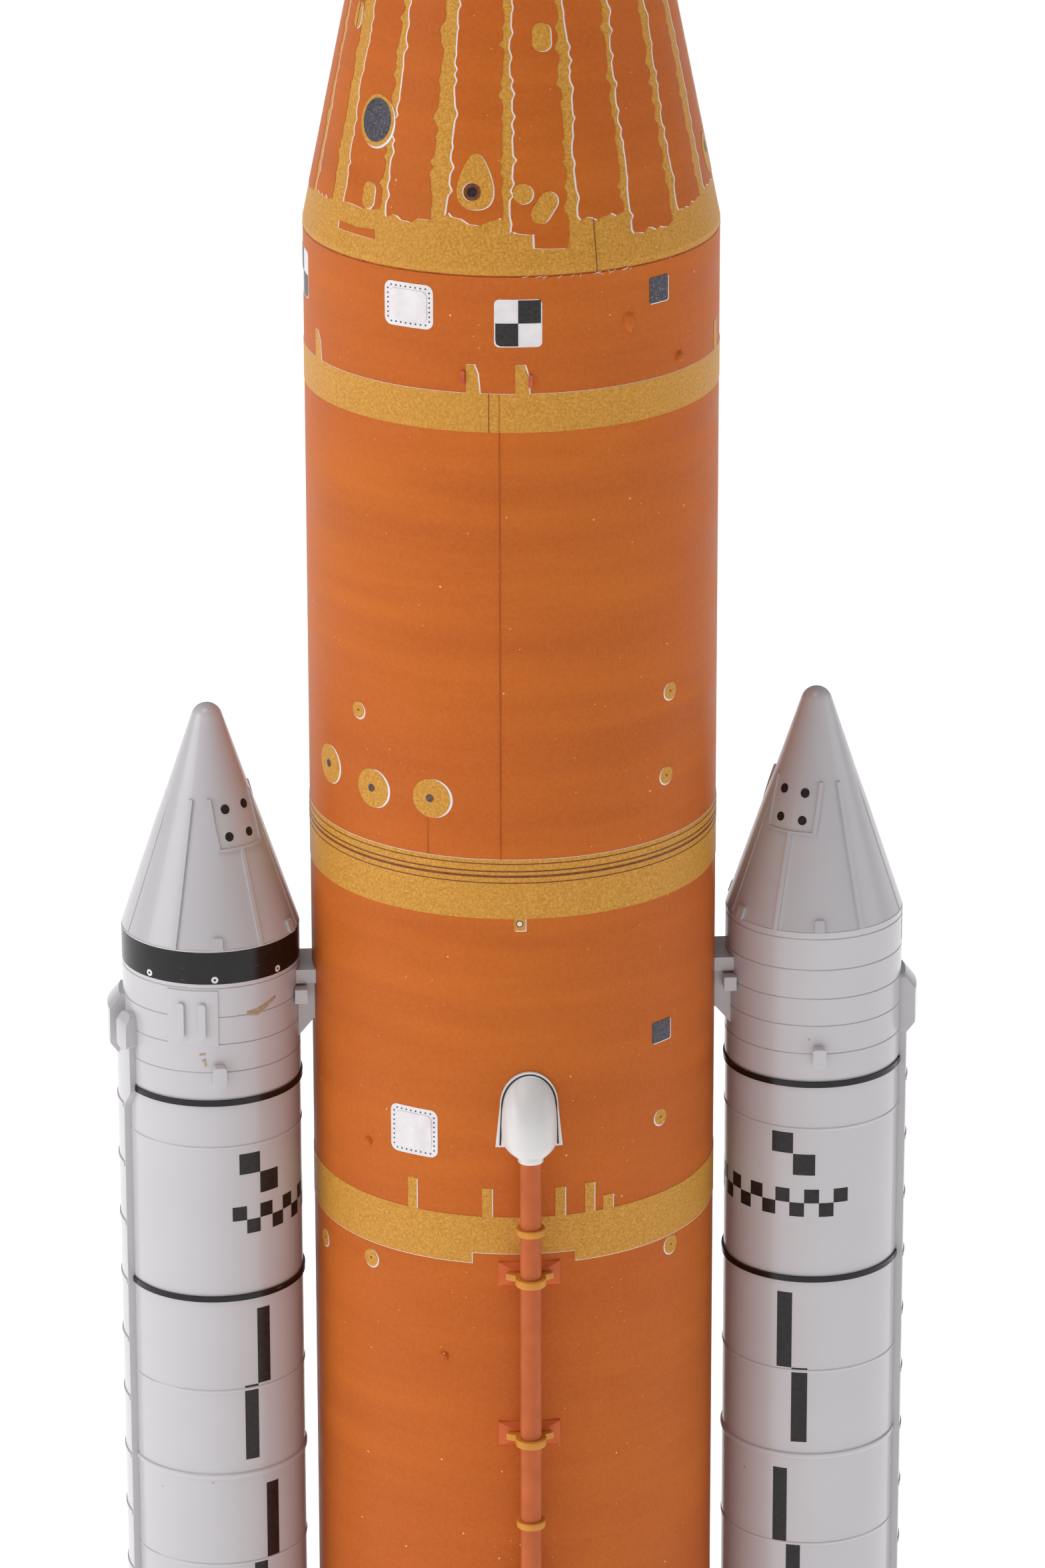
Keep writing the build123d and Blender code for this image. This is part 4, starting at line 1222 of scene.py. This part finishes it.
CASE_MARKS = {
    "left": {
        "squares": [(14.6, 29.3, -83.4, -81.1), (29.3, 43.9, -85.8, -83.45)],
        "bars": [(25.4, 35.0, -107.35, -98.8), (15.9, 25.5, -115.9, -107.4),
                 (30.6, 40.3, -127.75, -119.1), (20.9, 30.6, -136.3, -127.8)],
        "row": (9.5, 9.75, 14),
    },
    "right": {
        "squares": [(-33.1, -18.6, -83.0, -80.7), (-18.5, -3.9, -85.4, -83.05)],
        "bars": [(-28.2, -18.0, -107.45, -98.85), (-17.9, -7.3, -116.0, -107.45),
                 (-29.8, -20.1, -127.95, -119.2), (-20.2, -10.7, -136.6, -128.0)],
        "row": (18.4, -9.75, 14),
    },
}


def make_booster_print(booster, ink):
    """Black squares, a checker row and staggered bars on the case, different on each booster."""
    case = booster.case
    marks = CASE_MARKS[booster.side]
    blocks = marks["squares"] + marks["bars"]
    loops = [box_loop(az0, az1, level(z0), level(z1)) for az0, az1, z0, z1 in blocks]
    az, pitch, count = marks["row"]
    for k in range(count):
        z0, z1 = (-90.1, -88.55) if k % 2 else (-88.55, -87.0)
        start = az + pitch * k
        loops.append(box_loop(min(start, start + pitch), max(start, start + pitch), level(z0), level(z1)))
    az0, az1 = marks["bars"][0][:2]
    for k in range(5):
        low = -156.6 - 20.3 * k
        near, far = (-9.7, 0.0) if k % 2 else (0.0, -9.7)
        loops.append(box_loop(az0 + near, az1 + near, level(low), level(low + 8.5)))
        loops.append(box_loop(az0 + far, az1 + far, level(low - 8.6), level(low)))
    film(booster.name("print"), loops, case, 1, ink["booster_black"])


def make_scuffs(ink):
    """Rub marks on the left booster's skirt."""
    left = Booster("left")
    smear = [(21, -65.3), (29, -65.1), (37, -64.7), (43, -64.3), (44, -64.55), (37, -65.15), (29, -65.9),
             (22, -65.7)]
    spot = [(-10, -69.6), (-6, -69.5), (-6.5, -69.75), (-10.3, -69.8)]
    smudge = [(-9, -70.35), (-6.4, -70.1), (-5.6, -70.9), (-6.8, -71.1), (-7.4, -70.5)]
    loops = [[(az, level(z)) for az, z in loop] for loop in (smear, spot, smudge)]
    film("left_booster_scuffs", loops, left.skirt, 2, ink["scuff"])


# ---- Feedlines --------------------------------------------------------------------------------------

PIPE_Y = 23.0                       # from the core's axis to the pipes'
HOOD_L = 9.05                       # from the flange's top to the collar's foot
HOOD_ROUND = 4.4                    # height of the rounded end
HOOD_HALF = 2.8


def hood_sections(top):
    """Closed sections of the hood from its top down: (z, half width, half depth, centre's distance out)."""
    rows = []
    for k in range(1, 15):
        drop = HOOD_ROUND * (1 - cos(pi / 2 * k / 14))
        width = HOOD_HALF * (1 - (1 - drop / HOOD_ROUND) ** 2) ** 0.5
        rows.append((top - 0.35 - drop, width, 3.55 * (1 - (1 - min(1.0, drop / 5.4)) ** 2.1), 21.0))
    rows += [(top - 5.6, 2.84, 3.6, 21.0), (top - 7.2, 2.84, 3.6, 21.0)]
    rows += [(top - 7.75, 2.62, 3.1, 21.4), (top - 8.15, 2.2, 2.45, 21.9), (top - 8.4, 1.72, 1.8, 22.5),
             (top - 8.5, 1.32, 1.32, PIPE_Y), (top - 8.95, 1.3, 1.3, PIPE_Y),
             (top - HOOD_L, 1.2, 1.2, PIPE_Y)]
    return rows


def hood_mesh(top):
    """Points and faces of a hood on the core's front, with its round end up."""
    steps = 44
    points = []
    for z, half, deep, centre in hood_sections(top):
        for k in range(steps):
            angle = 2 * pi * k / steps
            across = copysign(abs(sin(angle)) ** 0.86, sin(angle))
            out = copysign(abs(cos(angle)) ** 0.86, cos(angle))
            points.append((half * across, -centre - deep * out, z))
    rows = len(points) // steps
    faces = [tuple(range(steps))]
    for row in range(rows - 1):
        for k in range(steps):
            here, there = row * steps + k, row * steps + (k + 1) % steps
            faces.append((here, here + steps, there + steps, there))
    faces.append(tuple(reversed(range((rows - 1) * steps, rows * steps))))
    return points, faces


def arch(half_top, half_foot, high, low):
    """Outline of an arch on the core's front, from its left foot over its crown to its right foot."""
    side = [(-core.turn(half_foot, 0), low)]
    for k in range(15):
        angle = pi / 2 * k / 14
        side.append((-core.turn(half_top * cos(angle), 0), high - 3.6 * (1 - sin(angle))))
    return side + [(-az, z) for az, z in reversed(side[:-1])]


def make_hood(name, top, turn, upside_down, ink, node):
    """Smooth fairing where a feedline enters the core, on a flange with a dark line round it."""
    points, faces = hood_mesh(top)
    if upside_down:
        points = [(-x, y, 2 * top - HOOD_L - z) for x, y, z in points]
    spin = Matrix.Rotation(radians(turn), 3, "Z")
    points = [tuple(spin @ Vector(p)) for p in points]
    piece = add_mesh(name, points, faces, ink["hood"], "airframe", sharp=60)
    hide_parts(node)

    def placed(loop):
        if upside_down:
            return [(-az + turn, 2 * top - HOOD_L - z) for az, z in loop]
        return [(az + turn, z) for az, z in loop]

    rim = arch(2.95, 3.42, top, top - 8.2)
    raised(name + "_flange", [placed(rim)], core, 0.3, ink["hood"], edge=0.08)
    outer = arch(2.84, 3.02, top - 0.2, top - 8.0)
    inner = arch(2.68, 2.84, top - 0.36, top - 8.0)
    line = outer + list(reversed(inner))
    laid_mesh(name + "_line", [placed(line)], core, 0.33, 0.0, ink["black"])


def make_feedlines(ink):
    """Hoods at both ends of both pipes."""
    top = node_high("feedline_hood_front").z
    foot_top = node_high("feedline_foot_hood_front").z
    make_hood("hood_front", top, 0, False, ink, "feedline_hood_front")
    make_hood("hood_rear", top, 180, False, ink, "feedline_hood_rear")
    make_hood("foot_hood_front", foot_top, 0, True, ink, "feedline_foot_hood_front")
    make_hood("foot_hood_rear", foot_top, 180, True, ink, "feedline_foot_hood_rear")


# ---- Upper stack and tail ---------------------------------------------------------------------------

def make_stack_hoops(rounds, ink):
    """Flange rings and raised seams round the white pieces above the cone."""
    stage_foot = node_low("upper_stage").z
    stage_top = node_high("upper_stage").z
    fairing_foot = node_low("service_fairing").z
    fairing_top = node_high("service_fairing").z
    shroud_foot = node_low("crew_shroud").z
    hoops = [("upper_stage", stage_foot, stage_foot + 1.3, 0.3),
             ("upper_stage", stage_foot + 7.6, stage_foot + 8.1, 0.15),
             ("upper_stage", stage_foot + 15.8, stage_foot + 16.3, 0.15),
             ("upper_stage", stage_top - 1.1, stage_top, 0.3),
             ("stage_adapter", stage_top + 6.5, stage_top + 7.5, 0.25),
             ("service_fairing", fairing_foot + 0.2, fairing_foot + 1.2, 0.3),
             ("service_fairing", fairing_top - 1.4, fairing_top - 0.1, 0.3),
             ("service_fairing", fairing_foot + 9.6, fairing_foot + 10.0, 0.12),
             ("crew_shroud", shroud_foot + 0.2, shroud_foot + 1.1, 0.3),
             ("crew_shroud", shroud_foot + 13.0, shroud_foot + 13.4, 0.15)]
    for number, (name, low, high, height) in enumerate(hoops, start=1):
        hoop(f"stack_hoop_{number}", rounds[name], low, high, height, ink["satin"], "white_plastic")


def make_stage_detail(stage, adapter, ink):
    """Cable tunnel up the upper stage, and stringers round its adapter."""
    foot = node_low("upper_stage").z
    top = node_high("upper_stage").z
    duct = box_loop(84, 92, foot + 1.6, top - 1.4)
    raised("stage_duct", [duct], stage, 0.7, ink["satin"], edge=0.2)
    stringers = [slanted(15 * k, 15 * k, top + 0.5, top + 6.2, 0.28, adapter) for k in range(24)]
    raised("adapter_stringers", stringers, adapter, 0.22, ink["satin"], edge=0.08)


def make_fairing_detail(fairing, ink):
    """Three upright seams and a ring of vents on the service fairing."""
    foot = node_low("service_fairing").z
    top = node_high("service_fairing").z
    seams = [box_loop(az - 1.1, az + 1.1, foot + 1.6, top - 1.8) for az in (-60, 60, 180)]
    raised("fairing_seams", seams, fairing, 0.16, ink["satin"], edge=0.06)
    vents = [disc_loop(fairing, 30 + 60 * k, top - 4.0, 0.55, 20) for k in range(6)]
    film("fairing_vents", vents, fairing, 1, ink["black"])


def make_shroud_detail(shroud, ink):
    """Four ridges, a hatch and its window on the crew shroud."""
    foot = node_low("crew_shroud").z
    levels = [foot + 2.0 * k for k in range(1, 14)]
    low, high = foot + 1.5, foot + 27.0
    ridges = [[(az - 1.2, low), (az + 1.2, low), (az + 2.4, high), (az - 2.4, high)]
              for az in (45, 135, 225, 315)]
    raised("shroud_ridges", ridges, shroud, 0.2, ink["satin"], edge=0.07, cuts=levels)
    hatch = rounded_loop(shroud, -16, 16, foot + 3.2, foot + 10.5, 1.0)
    raised("shroud_hatch", [hatch], shroud, 0.14, ink["satin"], edge=0.05, cuts=levels)
    window = rounded_loop(shroud, -5, 5, foot + 6.6, foot + 8.9, 0.6)
    laid_mesh("shroud_window", [window], shroud, 0.17, FILM, ink["gloss_black"],
              cuts=levels)


def make_tower_detail(ink):
    """Rings and a black stripe on the escape tower."""
    tower = Round(lambda z: 2.3, "nose")
    foot = node_low("escape_tower").z
    for number, (low, high) in enumerate(((6.4, 7.2), (14.0, 14.6), (20.5, 21.1), (27.0, 27.6)), start=1):
        hoop(f"tower_hoop_{number}", tower, foot + low, foot + high, 0.22, ink["satin"], "white_plastic")
    film("tower_stripe", [band_loop(foot + 22.4, foot + 25.6)], tower, 1, ink["gloss_black"])


def make_stack_detail(ink):
    """Detail on the white pieces above the cone."""
    names = ("upper_stage", "stage_adapter", "service_fairing", "crew_shroud")
    rounds = {name: Round(outline_of(name), "nose") for name in names}
    make_stack_hoops(rounds, ink)
    make_stage_detail(rounds["upper_stage"], rounds["stage_adapter"], ink)
    make_fairing_detail(rounds["service_fairing"], ink)
    make_shroud_detail(rounds["crew_shroud"], ink)
    make_tower_detail(ink)


ENGINE_HOOPS = [(2.0, 2.7, 5.14), (4.4, 4.9, 4.6), (6.6, 7.1, 3.95), (8.7, 9.1, 3.15)]  # low, high, radius


def make_tail_detail(ink):
    """Stringers and hoops on the tail cone, hoops on the engines' bells, gussets on the booster skirts."""
    slot = "orange_plastic"
    tail = Round(outline_of("boat_tail"), "airframe")
    low = node_low("boat_tail").z
    places = [11.25 + 22.5 * k for k in range(16)]
    stringers = [slanted(az, az, low + 1.6, CORE_FOOT - 1.5, 0.4, tail) for az in places]
    raised("tail_stringers", stringers, tail, 0.3, ink["tail_orange"], edge=0.1)
    hoop("tail_hoop_foot", tail, low + 0.1, low + 1.2, 0.3, ink["tail_orange"], slot)
    hoop("tail_hoop_top", tail, CORE_FOOT - 1.2, CORE_FOOT - 0.1, 0.25, ink["tail_orange"], slot)
    for number in range(1, 5):
        name = f"main_engine_{number}"
        x = (node_low(name).x + node_high(name).x) / 2
        y = (node_low(name).y + node_high(name).y) / 2
        for rank, (z0, z1, radius) in enumerate(ENGINE_HOOPS, start=1):
            bell = Round(lambda z, r=radius: r, "airframe", centre=x)
            hoop(f"{name}_hoop_{rank}", bell, z0, z1, 0.25, ink["engine"], "engine_grey", across=y)
    for side in ("left", "right"):
        booster = Booster(side)
        outline = outline_of(booster.name("aft_skirt"), booster.centre)
        skirt = Round(outline, "airframe", centre=booster.centre)
        gussets = [slanted(20 + 40 * k, 20 + 40 * k, 1.9, 12.2, 0.4, skirt) for k in range(9)]
        booster.raise_on(skirt, "skirt_gussets", gussets, 0.5, ink, edge=0.15)
        hoop(booster.name("skirt_hoop_foot"), skirt, 0.1, 1.5, 0.3, ink["gloss"], "white_plastic")
        hoop(booster.name("skirt_hoop_top"), skirt, 12.6, 13.8, 0.35, ink["gloss"], "white_plastic")


# ---- Recovery gear ----------------------------------------------------------------------------------

CANOPY_ACROSS = 0.36                # across the flats of the hexagonal canopy, in metres
HANK_TOP = 186.0                    # top of the folded shock cord
CORD_R = 0.8


def make_parachute(ink):
    """Canopy film folded to its height in the tube and rolled up, as one spiral strip."""
    low = node_low("parachute").z + 0.6
    high = node_high("parachute").z - 0.6
    outer = node_high("parachute").x - 0.4
    inner = 3.0
    area = 3 ** 0.5 / 2 * CANOPY_ACROSS ** 2
    length = area / ((high - low) * MM) / MM
    turns = length / (pi * (outer + inner))
    draw = random.Random(7)
    phase = [draw.uniform(0, 2 * pi) for _ in range(2)]
    steps = round(turns * 60)
    rows = 14
    points = []
    for k in range(steps + 1):
        share = k / steps
        angle = 2 * pi * turns * share
        radius = inner + (outer - inner) * share
        for row in range(rows + 1):
            up = row / rows
            ripple = 0.05 * sin(3 * angle + phase[0] + 2 * up) * sin(pi * up)
            edge = 0.7 * sin(angle * 0.37 + phase[1]) * (1 if row == rows else -1 if row == 0 else 0)
            z = low + (high - low) * up + edge * 0.6
            points.append(((radius + ripple) * cos(angle), (radius + ripple) * sin(angle), z))
    faces = []
    for k in range(steps):
        for row in range(rows):
            here = k * (rows + 1) + row
            faces.append((here, here + rows + 1, here + rows + 2, here + 1))
    canopy = add_mesh("parachute_roll", points, faces, ink["canopy"], "airframe", sharp=80)
    thick = canopy.modifiers.new("film", "SOLIDIFY")
    thick.thickness = 0.06 * MM
    thick.offset = 0.0
    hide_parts("parachute")


def tube_along(name, lines, radius, material, body="airframe"):
    """Round cords, each through a line of points, as one mesh."""
    data = bpy.data.curves.new(name, "CURVE")
    data.dimensions = "3D"
    data.bevel_depth = radius * MM
    data.bevel_resolution = 3
    data.use_fill_caps = True
    data.resolution_u = 10
    for line in lines:
        spline = data.splines.new("NURBS")
        spline.points.add(len(line) - 1)
        for control, point in zip(spline.points, line):
            control.co = (*(Vector(point) * MM), 1.0)
        spline.order_u = 3
        spline.use_endpoint_u = True
    curve = bpy.data.objects.new(name + "_line", data)
    bpy.context.scene.collection.objects.link(curve)
    graph = bpy.context.evaluated_depsgraph_get()
    mesh = bpy.data.meshes.new_from_object(curve.evaluated_get(graph))
    bpy.data.objects.remove(curve)
    mesh.name = name
    mesh.materials.clear()
    mesh.materials.append(material)
    mesh.shade_smooth()
    piece = bpy.data.objects.new(name, mesh)
    bpy.context.scene.collection.objects.link(piece)
    if body:
        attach(piece, body)
    return piece


def make_lines(ink):
    """The parachute's shroud lines, wound round the roll."""
    low = node_low("parachute_lines").z + 0.4
    high = node_high("parachute_lines").z - 0.4
    radius = node_high("parachute_lines").x - 0.3
    turns = 9
    points = []
    for k in range(turns * 24 + 1):
        angle = 2 * pi * k / 24
        share = k / (turns * 24)
        z = low + (high - low) * share + 0.15 * sin(angle * 0.7)
        points.append((radius * cos(angle), radius * sin(angle), z))
    piece = tube_along("parachute_line_winding", [points], 0.3, ink["cotton"])
    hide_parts("parachute_lines")


def make_shock_cord(ink):
    """Elastic cord: folded to and fro in a hank, with a leg to its mount and a riser to the nose."""
    foot = node_high("parachute").z
    side = 1
    run = []
    for layer in range(7):
        z = foot + 1.1 + 2.1 * layer
        for row in range(4):
            y = 1.0 + 2.1 * row + (0.3 if layer % 2 else 0.0)
            run += [(-8.0 * side, y - 0.5, z), (-3 * side, y, z + 0.2), (3 * side, y, z - 0.1),
                    (8.0 * side, y + 0.4, z)]
            side = -side
    hank = tube_along("shock_cord_hank", [run], CORD_R, ink["elastic"])
    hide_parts("shock_cord_pack")
    leg_y = 19.1
    leg = [(3.0, 7.2, foot + 12.0), (0, 8.5, 178), (0, 13.5, 178), (0.6, 17.5, 184), (-0.6, 18.4, 197),
           (0.5, 18.9, 216), (0, leg_y, 240), (0, leg_y - 0.05, 262.5)]
    tube_along("shock_cord_leg", [leg], CORD_R, ink["elastic"])
    riser_top = node_high("shock_cord_riser").z
    riser = [(0.5, 4.0, HANK_TOP - 2.0), (0.2, 4.0, 204), (1.2, 3.4, 226), (-0.8, 2.2, 250), (0, 0.4, 274),
             (0, 0, riser_top)]
    piece = tube_along("shock_cord_rise", [riser], CORD_R, ink["elastic"], body=None)
    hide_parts("shock_cord_riser")
    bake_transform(piece)


# ---- CAD nodes that keep their shape ----------------------------------------------------------------

def paint_nodes(ink):
    """Gives each CAD node that still shows its material, by a part of its name."""
    wanted = {
        "core_tube": "tube_paper", "motor_tube": "card", "thrust_ring": "card", "_centering_ring": "card",
        "shock_cord_mount": "card", "adapter_cone": "gloss", "nose_bulkhead": "gloss", "nose_weight": "clay",
        "upper_stage": "satin", "stage_adapter": "satin", "service_fairing": "satin",
        "crew_shroud": "satin", "escape_tower": "satin", "abort_nozzles": "engine", "main_engine_": "engine",
        "boat_tail": "tail_orange", "launch_lug_": "tail_orange", "engine_hook": "steel",
        "feedline_front": "pipe", "feedline_rear": "pipe", "feedline_clamps": "ochre",
        "feedline_pads": "pad_orange", "_black_bands": "gloss_black", "_front_bracket": "gloss",
        "_aft_attach": "gloss", "_aft_skirt": "gloss", "_nozzle": "engine", "_fin_": "clear",
    }
    for name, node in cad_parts.items():
        for part, tone in wanted.items():
            if part in name:
                node.data.materials.clear()
                node.data.materials.append(ink[tone])
    for name in ("left_booster_front_bracket", "right_booster_front_bracket"):
        rounded(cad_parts[name], 0.18)
    rounded(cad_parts["feedline_pads"], 0.12)
    rounded(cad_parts["feedline_clamps"], 0.12)


# ---- Floor ------------------------------------------------------------------------------------------

FLOOR_HALF = 60.0                   # metres, wide enough to fill a view from a low angle


def make_floor():
    """Plain pale floor."""
    mesh = bpy.data.meshes.new("floor")
    half = FLOOR_HALF
    corners = [(-half, -half, 0), (half, -half, 0), (half, half, 0), (-half, half, 0)]
    mesh.from_pydata(corners, [], [(0, 1, 2, 3)])
    floor_piece = bpy.data.objects.new("floor", mesh)
    bpy.context.scene.collection.objects.link(floor_piece)
    f = Finish("floor", 0.9)
    f.colour(f.mix(f.noise(60.0), rgb(244, 244, 244), rgb(250, 250, 250)))
    f.shader.inputs["Emission Color"].default_value = (1, 1, 1, 1)
    f.shader.inputs["Emission Strength"].default_value = 0.8
    mesh.materials.append(f.material)


make_camera()
make_light()
make_floor()
ink = make_materials()
make_core_skin(ink)
make_core_bands(ink)
make_core_marks(ink)
make_core_bumps(ink)
make_cone_skin(ink)
make_cone_panels(ink)
make_cone_marks(ink)
make_cone_fibres(ink)
for side in ("left", "right"):
    booster = Booster(side)
    make_booster_shells(booster, ink)
    make_booster_nose_detail(booster, ink)
    make_booster_skirt_detail(booster, ink)
    make_booster_tunnel(booster, ink)
    make_booster_print(booster, ink)
make_scuffs(ink)
make_feedlines(ink)
make_stack_detail(ink)
make_tail_detail(ink)
make_parachute(ink)
make_lines(ink)
make_shock_cord(ink)
paint_nodes(ink)
